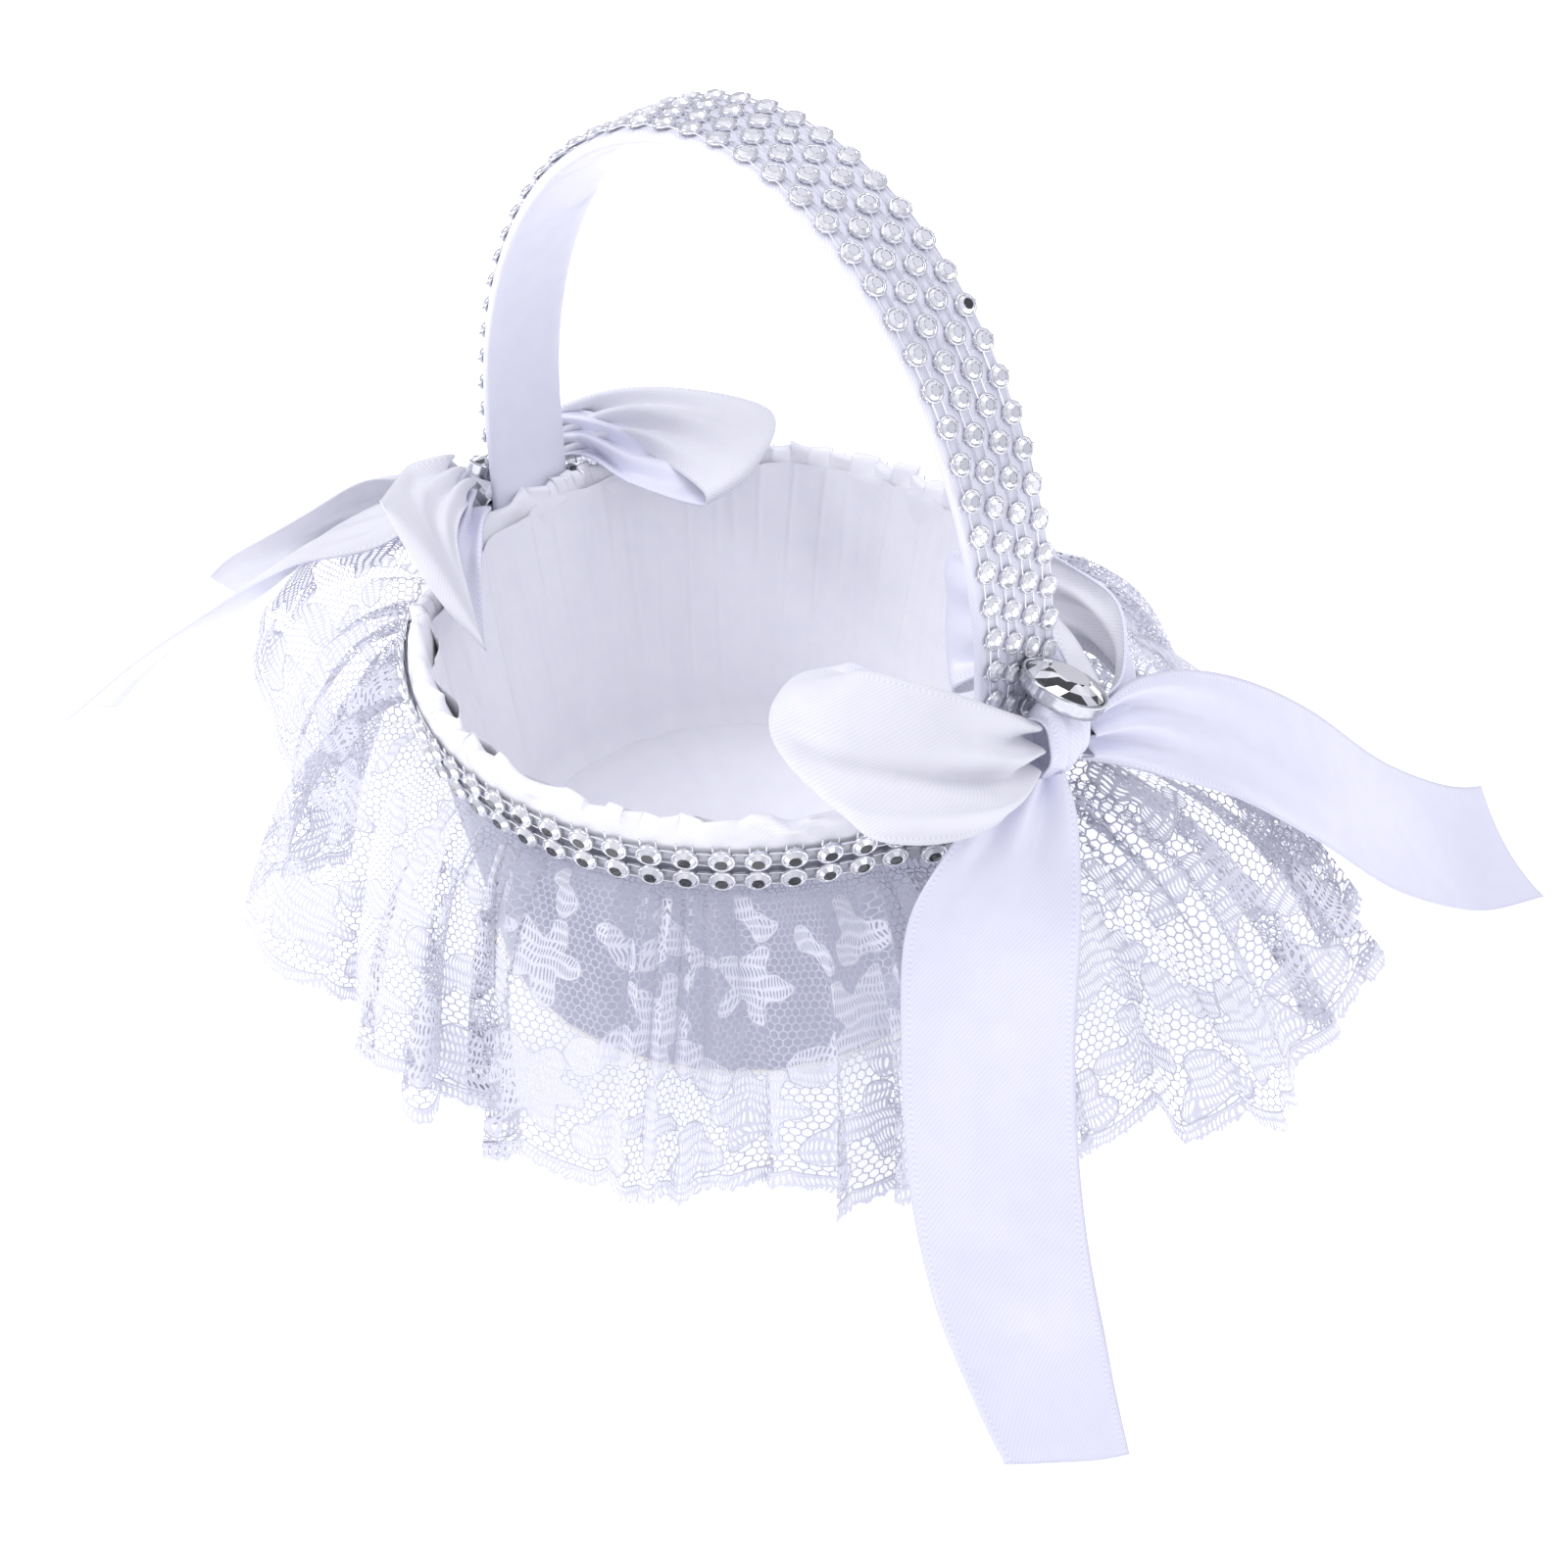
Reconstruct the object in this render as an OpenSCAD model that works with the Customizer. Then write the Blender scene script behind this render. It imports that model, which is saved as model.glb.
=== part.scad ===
// Flower girl basket: a satin-covered card bowl with a gathered lace flounce,
// a rhinestone band, a rhinestone-trimmed arched handle and two ribbon bows.
// Origin: centre of the base, on the surface that it stands on. +Z up,
// the handle spans along X. Millimetres.

/* [Bowl] */
// Outside radius of the card shell at the base
base_r = 42.5; // [39:0.5:44]
// Outside radius of the card shell at the rim
rim_r = 51.5; // [50:0.5:51.5]
// Height of the card shell
shell_h = 58; // [54:1:60]
// Thickness of the card
card_t = 1.4; // [1:0.1:2]
// Thickness of the padding under the floor lining
pad_t = 3.4; // [2:0.2:5]
// Thickness of the satin, gathers included
satin_t = 0.6; // [0.4:0.1:0.8]
// Height that the frill stands above the shell
frill_h = 4; // [2:0.5:6]

/* [Rhinestone trim] */
// Height of the two-row band round the rim
band_h = 9.3; // [8:0.1:11]
// Number of stones in each row of the band
band_count = 64; // [48:1:68]
// Diameter of one stone
stone_d = 3.4; // [2.6:0.1:3.8]
// Distance from stone to stone along the handle
handle_pitch = 5.2; // [4.6:0.1:7]
// Distance between the four columns of stones on the handle
column_pitch = 4; // [3.9:0.05:4.1]

/* [Lace] */
// Sheet thickness of the gathered lace
lace_t = 0.8; // [0.6:0.1:1]
// How far the lace arches up and out before it falls
lace_arch = 9; // [4:1:12]

/* [Handle] */
// Half of the clear span between the legs
handle_half_span = 51.9; // [51.9:0.1:54]
// Height where the straight legs meet the arch
spring_z = 73; // [66:1:80]
// Height of the arch's underside
handle_top = 139; // [120:1:150]
// Width of the strap
handle_w = 16; // [15.6:0.2:20]
// Thickness of the wrapped strap
handle_t = 2.4; // [2:0.1:3]
// Distance of the handle from the centre line
handle_y = 2.5; // [0:0.5:3]

/* [Bows] */
// Width of the satin ribbon
ribbon_w = 25; // [20:1:26]
// Thickness of the ribbon solids
ribbon_t = 0.6; // [0.5:0.1:1]
// Diameter of the crystal on each knot
crystal_d = 12; // [9:0.5:13]

/* [Hidden] */

cover_t = 0.5;                  // satin sheet under the base
board_t = 2;                    // base board
gap = 0.1;                      // between glued layers
floor_z = cover_t + board_t + pad_t + 2 * gap;
taper = (rim_r - base_r) / shell_h;
band_bottom = shell_h - band_h + 0.7;
mesh_t = 0.5;
stone_h = 1.3;
foot_z = 30;                    // lower end of the handle's legs
foot_bump = 4;                  // how far the covers stand out round a leg
wrap_t = 0.4;
trim_z = shell_h + 1.5;         // lower end of the rhinestones on the legs
staple_z = [38, 50];
staple_r = 0.3;
staple_half = 4.5;
crown_r = 0.4;
steps = 120;                    // angular steps of the soft rings

// outside radius of the shell at height z
function shell_at(z) = base_r + taper * z;
function clamp01(v) = min(1, max(0, v));
function smooth(v) = let (c = clamp01(v)) c * c * (3 - 2 * c);

// angle between direction a and the nearer handle leg
foot_a = asin(handle_y / (rim_r + 3));
function turn(a) = abs(((a + 540) % 360) - 180);
function from_leg(a) = min(turn(a - foot_a), turn(a - 180 + foot_a));
function bump(a, z) = foot_bump * (1 - smooth((from_leg(a) - 11) / 14)) * smooth((z - 12) / 12);

// radius of a layer that lies g outside the shell and goes round the legs
function layer(a, z, g) = shell_at(z) + g + bump(a, z);

// layers, from the shell outwards
cover_in = 0.15;
cover_out = cover_in + satin_t;
lace_in = cover_out + 0.05;
lace_out = lace_in + 0.55;
mesh_in = lace_out + gap;
mesh_out = mesh_in + mesh_t;

function ring_point(r, a, z) = [r * cos(a), r * sin(a), z];

// closed tube between two nets of points: out[i][j] and inn[i][j], i round, j down
module net_tube(out, inn) {
    n = len(out);
    m = len(out[0]);
    points = concat([for (i = [0:n - 1]) for (j = [0:m - 1]) out[i][j]],
                    [for (i = [0:n - 1]) for (j = [0:m - 1]) inn[i][j]]);
    k = n * m;
    faces = [for (i = [0:n - 1]) let (h = (i + 1) % n) each concat(
        [for (j = [0:m - 2]) each [[i * m + j, i * m + j + 1, h * m + j + 1],
                                   [i * m + j, h * m + j + 1, h * m + j]]],
        [for (j = [0:m - 2]) each [[k + i * m + j, k + h * m + j + 1, k + i * m + j + 1],
                                   [k + i * m + j, k + h * m + j, k + h * m + j + 1]]],
        [[i * m, h * m, k + h * m], [i * m, k + h * m, k + i * m],
         [i * m + m - 1, k + h * m + m - 1, h * m + m - 1],
         [i * m + m - 1, k + i * m + m - 1, k + h * m + m - 1]])];
    polyhedron(points, faces, convexity = 10);
}

// ring that follows the covers between two offsets, through the heights zs from top to bottom
module layer_ring(g_in, g_out, zs) {
    out = [for (i = [0:steps - 1]) let (a = i * 360 / steps)
        [for (z = zs) ring_point(layer(a, z, g_out), a, z)]];
    inn = [for (i = [0:steps - 1]) let (a = i * 360 / steps)
        [for (z = zs) ring_point(layer(a, z, g_in), a, z)]];
    net_tube(out, inn);
}

// ---- bowl ----

module base_cover() {
    color("white") cylinder(r = base_r - 0.4, h = cover_t, $fn = 96);
}

module base_board() {
    color("gray") translate([0, 0, cover_t])
        cylinder(r = base_r - card_t - gap, h = board_t, $fn = 96);
}

module bowl_shell() {
    color("lightgray") difference() {
        rotate_extrude($fn = 128) polygon([
            [shell_at(cover_t), cover_t], [rim_r, shell_h],
            [rim_r - card_t, shell_h], [shell_at(cover_t) - card_t, cover_t]]);
        staple_legs(staple_r + 0.04);
    }
}

module bottom_pad() {
    color("whitesmoke") translate([0, 0, cover_t + board_t + gap])
        cylinder(r = base_r - card_t - 0.5, h = pad_t, $fn = 96);
}

module lining_floor() {
    color("white") translate([0, 0, floor_z])
        cylinder(r = shell_at(floor_z) - card_t - satin_t - 0.4, h = satin_t, $fn = 96);
}

module lining_wall() {
    out_bottom = shell_at(floor_z) - card_t - 0.15;
    out_top = rim_r - card_t - 0.15;
    color("white") rotate_extrude($fn = 128) polygon([
        [out_bottom, floor_z], [out_top, shell_h],
        [out_top - satin_t, shell_h], [out_bottom - satin_t, floor_z]]);
}

// scrunched top edge of the lining, gathered over the rim
module rim_ruffle() {
    out_r = rim_r + 0.2;
    in_r = rim_r - card_t - satin_t - 0.6;
    color("white") rotate_extrude($fn = 128) translate([0, shell_h + gap]) union() {
        translate([in_r, 0]) square([out_r - in_r, frill_h - (out_r - in_r) / 2]);
        translate([(in_r + out_r) / 2, frill_h - (out_r - in_r) / 2]) intersection() {
            circle(d = out_r - in_r, $fn = 32);
            translate([-out_r, 0]) square([2 * out_r, out_r]);
        }
    }
}

module outer_cover() {
    color("lavender") layer_ring(cover_in, cover_out,
        [shell_h - 0.2, 26, 22, 18, 15, 12, cover_t + gap]);
}

// ---- handle ----

// one line of the strap, offset d outwards, from the right foot over the top to the left foot
function strap_line(d, z0) = concat(
    z0 < shell_h ? [[handle_half_span + d - (shell_h - z0) * taper, z0],
                    [handle_half_span + d, shell_h]] : [[handle_half_span + d, z0]],
    [for (t = [0:3:180]) [(handle_half_span + d) * cos(t),
                          spring_z + (handle_top - spring_z + d) * sin(t)]],
    z0 < shell_h ? [[-handle_half_span - d, shell_h],
                    [-handle_half_span - d + (shell_h - z0) * taper, z0]]
                 : [[-handle_half_span - d, z0]]);
function reversed(v) = [for (i = [len(v) - 1:-1:0]) v[i]];

module strap(d_in, d_out, w, z0) {
    translate([0, handle_y + w / 2, 0]) rotate([90, 0, 0]) linear_extrude(w)
        polygon(concat(strap_line(d_out, z0), reversed(strap_line(d_in, z0))));
}

// the staples' legs, as pins of radius r through the foot and the shell
module staple_legs(r) {
    for (side = [-1, 1], z = staple_z, y = [-staple_half, staple_half])
        translate([side * (handle_half_span - 3.2 - (shell_h - z) * taper), handle_y + y, z])
            rotate([0, side * 90, 0]) cylinder(r = r, h = 3.2 + handle_t + 0.4, $fn = 24);
}

module handle_core() {
    color("whitesmoke") difference() {
        strap(wrap_t, handle_t - wrap_t, handle_w - 2 * wrap_t, foot_z);
        staple_legs(staple_r + 0.04);
    }
}

module handle_wrap() {
    color("white") difference() {
        strap(0, handle_t, handle_w, foot_z);
        strap(wrap_t, handle_t - wrap_t, handle_w - 2 * wrap_t, foot_z - 1);
        staple_legs(staple_r + 0.04);
    }
}

module handle_mesh() {
    color("silver") strap(handle_t, handle_t + mesh_t, handle_w - 1, trim_z);
}

// the strap's outer line with its running length, for spacing the stones
line = strap_line(handle_t + mesh_t, trim_z);
run = [for (i = 0, s = 0; i < len(line);
            s = s + (i + 1 < len(line) ? norm(line[i + 1] - line[i]) : 0), i = i + 1) s];
run_x = [for (i = [0:len(line) - 1]) [run[i], line[i].x]];
run_z = [for (i = [0:len(line) - 1]) [run[i], line[i].y]];
rows = floor((run[len(run) - 1] - handle_pitch) / handle_pitch);

module handle_stones() {
    start = (run[len(run) - 1] - (rows - 0.5) * handle_pitch) / 2;
    color("lightblue") for (column = [0:3], row = [0:rows - 1]) {
        s = start + (row + (column % 2) / 2) * handle_pitch;
        ahead = [lookup(s + 0.5, run_x), lookup(s + 0.5, run_z)];
        behind = [lookup(s - 0.5, run_x), lookup(s - 0.5, run_z)];
        along = ahead - behind;
        translate([lookup(s, run_x), handle_y + (column - 1.5) * column_pitch, lookup(s, run_z)])
            rotate([0, atan2(along.y, -along.x), 0])
                cylinder(d = stone_d, h = stone_h, $fn = 24);
    }
}

// wire staples that hold each foot to the shell, two to a leg
module handle_staples() {
    color("silver") union() {
        staple_legs(staple_r);
        for (side = [-1, 1], z = staple_z)
            translate([side * (handle_half_span + handle_t + 0.4 - (shell_h - z) * taper),
                       handle_y - staple_half - crown_r, z])
                rotate([-90, 0, 0]) cylinder(r = crown_r, h = 2 * (staple_half + crown_r), $fn = 24);
    }
}

// ---- lace and rhinestone band ----

// hem of the flounce, flute by flute: angle, radius, height
hem = [[0, 90, 8], [8, 94, 5], [15, 104, 6], [22, 106, 11], [30, 105, 14], [40, 94, 11],
       [53, 96, 18], [63, 88, 11], [73, 95, 18], [84, 88, 10], [94, 96, 17], [106, 87, 10],
       [118, 97, 18], [130, 88, 11], [141, 97, 19], [152, 89, 12], [163, 98, 22], [174, 96, 20],
       [187, 101, 27], [199, 99, 25], [209, 86, 11], [219, 69, 5], [229, 79, 7], [238, 85, 9],
       [248, 76, 4], [259, 69, 2], [270, 68, 2], [281, 67, 2], [292, 71, 3], [303, 72, 3],
       [313, 67, 2], [324, 71, 3], [336, 81, 6], [347, 84, 8], [360, 90, 8]];
hem_r = [for (h = hem) [h[0], h[1]]];
hem_z = [for (h = hem) [h[0], h[2]]];

function mix(p, q, t) = p * (1 - t) + q * t;
// profile of the lace at angle a, from the band's top edge to the hem: [radius, height]
function lace_profile(a) = let (
        top = [layer(a, shell_h - 0.1, lace_out), shell_h - 0.1],
        bend = [layer(a, band_bottom, lace_out), band_bottom],
        end = [lookup(a, hem_r), lookup(a, hem_z)],
        ctrl = [mix(bend.x, end.x, 0.5) + lace_arch / 3, mix(bend.y, end.y, 0.3) + lace_arch])
    concat([top], [for (t = [0:0.125:1]) mix(mix(bend, ctrl, t), mix(ctrl, end, t), t)]);

module lace_flounce() {
    out = [for (i = [0:steps - 1]) let (a = i * 360 / steps)
        [for (p = lace_profile(a)) ring_point(p.x, a, p.y)]];
    inn = [for (i = [0:steps - 1]) let (a = i * 360 / steps)
        [for (p = lace_profile(a)) ring_point(p.x - (lace_out - lace_in), a, p.y - lace_t / 2)]];
    color("white", 0.6) net_tube(out, inn);
}

module band_mesh() {
    color("silver") layer_ring(mesh_in, mesh_out, [shell_h + 0.7, band_bottom]);
}

module band_stones(z) {
    color("lightblue") for (i = [0:band_count - 1]) {
        a = (i + 0.5) * 360 / band_count;
        translate(ring_point(layer(a, z, mesh_out) + 0.15, a, z)) rotate([0, 90 + atan(taper), a])
            cylinder(d = stone_d, h = stone_h, $fn = 24);
    }
}

module band_stones_upper() {
    band_stones(shell_h + 0.7 - band_h * 0.27);
}

module band_stones_lower() {
    band_stones(shell_h + 0.7 - band_h * 0.73);
}

// ---- bows ----

// smooth value between stations i and i + 1 of list p, at u from 0 to 1
function spline(p, i, u) = let (
        a = i > 0 ? p[i - 1] : 2 * p[0] - p[1], b = p[i], c = p[i + 1],
        d = i + 2 < len(p) ? p[i + 2] : 2 * c - b)
    0.5 * (2 * b + (c - a) * u + (2 * a - 5 * b + 4 * c - d) * u * u
           + (3 * b - a - 3 * c + d) * u * u * u);
function unit(v) = v / norm(v);

// flat ribbon through stations [centre, direction across, width]
module ribbon(stations) {
    centres = [for (s = stations) s[0]];
    across = [for (s = stations) unit(s[1])];
    widths = [for (s = stations) s[2] * ribbon_w];
    sub = 4;
    last = len(stations) - 1;
    at = [for (i = [0:last - 1]) for (j = [0:sub - 1]) [i, j / sub]];
    where = concat(at, [[last - 1, 1]]);
    mid = [for (w = where) spline(centres, w[0], w[1])];
    n = len(mid);
    ring = [for (i = [0:n - 1]) let (
            side = unit(spline(across, where[i][0], where[i][1]))
                   * spline(widths, where[i][0], where[i][1]) / 2,
            along = mid[min(i + 1, n - 1)] - mid[max(i - 1, 0)],
            face = unit(cross(side, along)) * ribbon_t / 2)
        each [mid[i] - side - face, mid[i] + side - face,
              mid[i] + side + face, mid[i] - side + face]];
    faces = concat([[0, 1, 2], [0, 2, 3]],
        [for (i = [0:n - 2]) for (k = [0:3]) let (q = (k + 1) % 4) each [
            [4 * i + k, 4 * i + 4 + k, 4 * i + 4 + q], [4 * i + k, 4 * i + 4 + q, 4 * i + q]]],
        [[4 * n - 4, 4 * n - 2, 4 * n - 3], [4 * n - 4, 4 * n - 1, 4 * n - 2]]);
    polyhedron(ring, faces, convexity = 6);
}

right_knot = [60.6, 3.5, 68];
left_knot = [-60.6, 3, 51];

right_loop_front = [
    [[60.5, -2, 69], [-0.2, 0.2, 0.9], 0.35], [[62.5, -11, 71.8], [-0.4, 0.4, 0.8], 0.62],
    [[60, -23, 77.8], [-0.4, 0.4, 0.8], 0.86], [[51.5, -32.5, 81.2], [-0.4, 0.4, 0.8], 0.98],
    [[42.5, -34.5, 81.5], [-0.4, 0.4, 0.8], 0.88], [[39.5, -30, 80.3], [-0.4, 0.4, 0.8], 0.76],
    [[45, -24.5, 77], [-0.4, 0.4, 0.8], 0.78], [[53, -17, 73.8], [-0.3, 0.3, 0.9], 0.58],
    [[59.5, -6.5, 69.5], [-0.2, 0.2, 0.9], 0.35]];
right_loop_back = [
    [[61, 9, 66], [-0.2, 0, 0.95], 0.35], [[63, 17, 64.5], [-0.3, 0, 0.9], 0.56],
    [[57.5, 26, 66.5], [-0.35, 0, 0.9], 0.64], [[47, 29, 69.5], [-0.2, 0.1, 0.9], 0.5],
    [[37, 25, 70], [-0.3, 0.3, 0.85], 0.8], [[29.5, 17, 68], [-0.45, 0.45, 0.75], 0.96],
    [[31, 14, 69.5], [-0.45, 0.45, 0.75], 0.9], [[41, 15, 72.5], [-0.3, 0.3, 0.9], 0.6],
    [[51, 15, 72], [-0.2, 0.1, 0.95], 0.4], [[60.5, 12.5, 68.5], [-0.2, 0, 0.95], 0.35]];
right_tail_front = [
    [[61.5, -2, 63.5], [0.5, 0.8, 0.1], 0.36], [[63.2, -7, 58.5], [0.6, 0.75, 0.1], 0.7],
    [[66.5, -15, 47], [0.72, 0.69, 0], 1], [[74, -24, 33], [0.72, 0.69, 0], 1],
    [[83, -32, 19], [0.7, 0.7, -0.05], 1], [[93, -39, 9], [0.6, 0.75, -0.2], 1],
    [[104, -46, 6.4], [0.35, 0.86, -0.38], 1], [[117.5, -54.6, 6.2], [0.05, 0.88, -0.45], 1]];
right_tail_back = [
    [[63, 9, 66], [-0.2, 0.1, 0.9], 0.36], [[66, 19, 64], [-0.35, 0.35, 0.8], 0.56],
    [[71, 34, 56], [-0.55, 0.6, 0.5], 0.8], [[78, 52, 41], [-0.62, 0.68, 0.35], 0.96],
    [[85, 70, 23], [-0.62, 0.68, 0.33], 1], [[91, 88, 10], [-0.64, 0.69, 0.3], 1],
    [[95, 104, 4.8], [-0.7, 0.66, 0.25], 1]];
left_loop_front = [
    [[-60.5, -3, 54], [-0.3, -0.1, 0.85], 0.36], [[-59, -9.5, 63.5], [-0.7, 0.1, 0.5], 0.36],
    [[-52.4, -13, 68.9], [-0.9, 0.3, 0.1], 0.42], [[-50, -20.8, 68.6], [-0.95, 0.22, 0.1], 0.76],
    [[-36.7, -31.5, 67.6], [-0.9, 0.1, 0.42], 1.2],
    [[-39.1, -29.3, 65.8], [-0.89, 0.08, 0.44], 1.15],
    [[-47, -17.6, 66], [-0.92, 0.22, 0.25], 0.62], [[-53, -10.6, 65.5], [-0.8, 0.2, 0.5], 0.4],
    [[-61.8, -5.5, 57], [-0.3, -0.1, 0.85], 0.36]];
left_loop_back = [
    [[-60.5, 9, 54], [-0.2, 0.1, 0.9], 0.36], [[-60.5, 14, 61.5], [-0.4, 0.2, 0.8], 0.36],
    [[-53, 15.5, 65], [-0.65, 0.4, 0.5], 0.38], [[-41, 17.2, 65.4], [-0.6, 0.7, 0.35], 0.6],
    [[-26.8, 28.9, 65], [-0.28, 0.93, 0.22], 1], [[-27, 30, 66.6], [-0.3, 0.92, 0.2], 1],
    [[-39.3, 25, 68.2], [-0.5, 0.75, 0.3], 0.64], [[-50.5, 20.2, 67], [-0.6, 0.45, 0.5], 0.4],
    [[-62.5, 13, 60], [-0.2, 0.1, 0.9], 0.36]];
left_tail_front = [
    [[-64, -2, 48], [-0.2, 0.3, -0.9], 0.36], [[-69.5, -5, 51], [-0.45, 0.6, -0.6], 0.5],
    [[-74, -12, 50], [-0.5, 0.84, -0.08], 0.72], [[-82, -21.5, 46.5], [-0.5, 0.8, -0.26], 0.92],
    [[-87, -28.2, 41.5], [-0.58, 0.65, -0.48], 0.97], [[-95.8, -36.2, 32], [-0.6, 0.58, -0.55], 1],
    [[-107.2, -48.3, 20.5], [-0.6, 0.57, -0.56], 1], [[-113.9, -60, 9.8], [-0.56, 0.5, -0.66], 1]];
left_tail_back = [
    [[-65, 6, 49], [0.2, -0.15, 0.9], 0.36], [[-73, 4.5, 51.5], [0.35, -0.35, 0.85], 0.42],
    [[-83.8, -1.5, 49], [0.42, -0.5, 0.76], 0.56], [[-90, -4.5, 45], [0.38, -0.56, 0.73], 0.74],
    [[-97.5, -9.5, 38], [0.36, -0.58, 0.72], 0.84],
    [[-108, -14.5, 28.5], [0.36, -0.58, 0.71], 0.92],
    [[-117.5, -17, 20.5], [0.38, -0.6, 0.69], 0.96],
    [[-124, -18.5, 14.5], [0.38, -0.62, 0.67], 0.96]];

module knot(at) {
    color("white") translate(at) hull() for (z = [-2.6, 2.6])
        translate([0, 0, z]) sphere(r = 4.1, $fn = 28);
}

// silver cup of a brooch, standing on the top of its knot
module brooch_at(at) {
    translate([at.x, at.y, at.z + 6.9]) rotate([-24, 9 * sign(at.x), 0]) children();
}

module brooch_cup(at) {
    color("silver") brooch_at(at) difference() {
        cylinder(d = crystal_d + 1.2, h = 2.6, $fn = 64);
        translate([0, 0, 0.8]) cylinder(d = crystal_d + 0.2, h = 3, $fn = 64);
    }
}

module brooch_crystal(at) {
    color("lightblue") brooch_at(at) translate([0, 0, 0.9]) union() {
        cylinder(d = crystal_d, h = 1.6, $fn = 64);
        translate([0, 0, 1.6]) cylinder(d1 = crystal_d, d2 = crystal_d * 0.55, h = 1.6, $fn = 64);
    }
}

module satin_ribbon(stations) {
    color("lavender") ribbon(stations);
}

base_cover();
base_board();
bowl_shell();
bottom_pad();
lining_floor();
lining_wall();
rim_ruffle();
outer_cover();
handle_core();
handle_wrap();
handle_mesh();
handle_stones();
handle_staples();
lace_flounce();
band_mesh();
band_stones_upper();
band_stones_lower();
knot(right_knot);  // right_bow_knot
satin_ribbon(right_loop_front);  // right_bow_loop_front
satin_ribbon(right_loop_back);  // right_bow_loop_back
satin_ribbon(right_tail_front);  // right_bow_tail_front
satin_ribbon(right_tail_back);  // right_bow_tail_back
brooch_cup(right_knot);  // right_brooch_cup
brooch_crystal(right_knot);  // right_brooch_crystal
knot(left_knot);  // left_bow_knot
satin_ribbon(left_loop_front);  // left_bow_loop_front
satin_ribbon(left_loop_back);  // left_bow_loop_back
satin_ribbon(left_tail_front);  // left_bow_tail_front
satin_ribbon(left_tail_back);  // left_bow_tail_back
brooch_cup(left_knot);  // left_brooch_cup
brooch_crystal(left_knot);  // left_brooch_crystal
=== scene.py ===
# Flower girl basket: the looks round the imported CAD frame.
# Sizes are in millimetres and the meshes are made in metres, standing on z = 0, with the handle along X.
import math

import bpy
import numpy as np
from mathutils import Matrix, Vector


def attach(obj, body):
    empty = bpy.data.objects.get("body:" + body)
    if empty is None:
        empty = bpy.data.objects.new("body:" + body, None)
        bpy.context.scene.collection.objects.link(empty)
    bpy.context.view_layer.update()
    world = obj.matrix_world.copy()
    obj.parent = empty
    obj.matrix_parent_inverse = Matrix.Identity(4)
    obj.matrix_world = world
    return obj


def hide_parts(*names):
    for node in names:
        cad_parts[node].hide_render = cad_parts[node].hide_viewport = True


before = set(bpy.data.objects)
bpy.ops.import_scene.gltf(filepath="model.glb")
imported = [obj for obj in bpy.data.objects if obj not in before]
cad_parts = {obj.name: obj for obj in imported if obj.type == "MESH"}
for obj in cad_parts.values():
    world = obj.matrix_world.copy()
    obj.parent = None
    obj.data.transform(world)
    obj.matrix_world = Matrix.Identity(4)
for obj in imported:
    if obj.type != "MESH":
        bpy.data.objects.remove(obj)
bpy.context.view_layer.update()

# ---------------------------------------------------------------------------
# Card body: the tapered wall and the base disc
# Grey board about 1.4 mm thick, die-cut, rolled and glued. It is covered on both sides, so it shows
# only where a cover lifts: matt, warm grey, with short fibres.
# ---------------------------------------------------------------------------
base_r, rim_r, shell_h, card_t = 42.5, 51.5, 58.0, 1.4
taper = (rim_r - base_r) / shell_h


def linear(hex_text):
    """sRGB hex to the linear colour that a socket takes"""
    parts = [int(hex_text[i:i + 2], 16) / 255 for i in (1, 3, 5)]
    return [p / 12.92 if p <= 0.04045 else ((p + 0.055) / 1.055) ** 2.4 for p in parts] + [1.0]


def add(tree, kind, values=(), out=0, **settings):
    """Adds a node. Settings go to its properties, values to its inputs, and one output comes back."""
    made = tree.nodes.new(kind)
    for name, value in settings.items():
        setattr(made, name, value)
    for key, value in (values.items() if isinstance(values, dict) else enumerate(values)):
        if isinstance(value, bpy.types.NodeSocket):
            tree.links.new(value, made.inputs[key])
        elif value is not None:
            made.inputs[key].default_value = value
    return made.outputs[out] if len(made.outputs) else made


def empty_material(name):
    material = bpy.data.materials.new(name)
    material.use_nodes = True
    material.node_tree.nodes.clear()
    return material, material.node_tree


def greyboard():
    fibre_mm = 0.8
    material, tree = empty_material("matt greyboard, fibrous")
    place = add(tree, "ShaderNodeTexCoord", out="Object")
    fibres = add(tree, "ShaderNodeTexNoise", {"Vector": place, "Scale": 1000 / fibre_mm, "Detail": 3.0})
    tone = add(tree, "ShaderNodeMix", {"Factor": fibres, 6: linear("#B4AEA2"), 7: linear("#D2CCBF")},
               out=2, data_type="RGBA")
    bump = add(tree, "ShaderNodeBump", {"Height": fibres, "Strength": 0.3, "Distance": 0.0001})
    surface = add(tree, "ShaderNodeBsdfPrincipled",
                  {"Base Color": tone, "Roughness": 0.9, "Normal": bump})
    add(tree, "ShaderNodeOutputMaterial", {"Surface": surface})
    return material


def new_object(name, mesh):
    made = bpy.data.objects.new(name, mesh)
    bpy.context.scene.collection.objects.link(made)
    return made


def finish_node(name, material):
    """A CAD node keeps its shape and takes this material"""
    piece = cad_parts[name]
    piece.data.materials.clear()
    piece.data.materials.append(material)


board = greyboard()
finish_node("bowl_shell", board)
finish_node("base_board", board)

# ---------------------------------------------------------------------------
# Wadding, satin lining of the floor, and satin under the base
# A disc of polyester wadding under a disc of white satin, and a second satin disc under the base. The
# floor's satin is glued at its rim, so it crowns in the middle and puckers where the gathers push.
# ---------------------------------------------------------------------------
floor_z = 6.1
satin_t = 0.6


def shell_at(z):
    return base_r + taper * z


def polar(r, a, z):
    """Points from arrays of radius, angle in radians and height"""
    return np.stack(np.broadcast_arrays(r * np.cos(a), r * np.sin(a), z), axis=-1)


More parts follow.
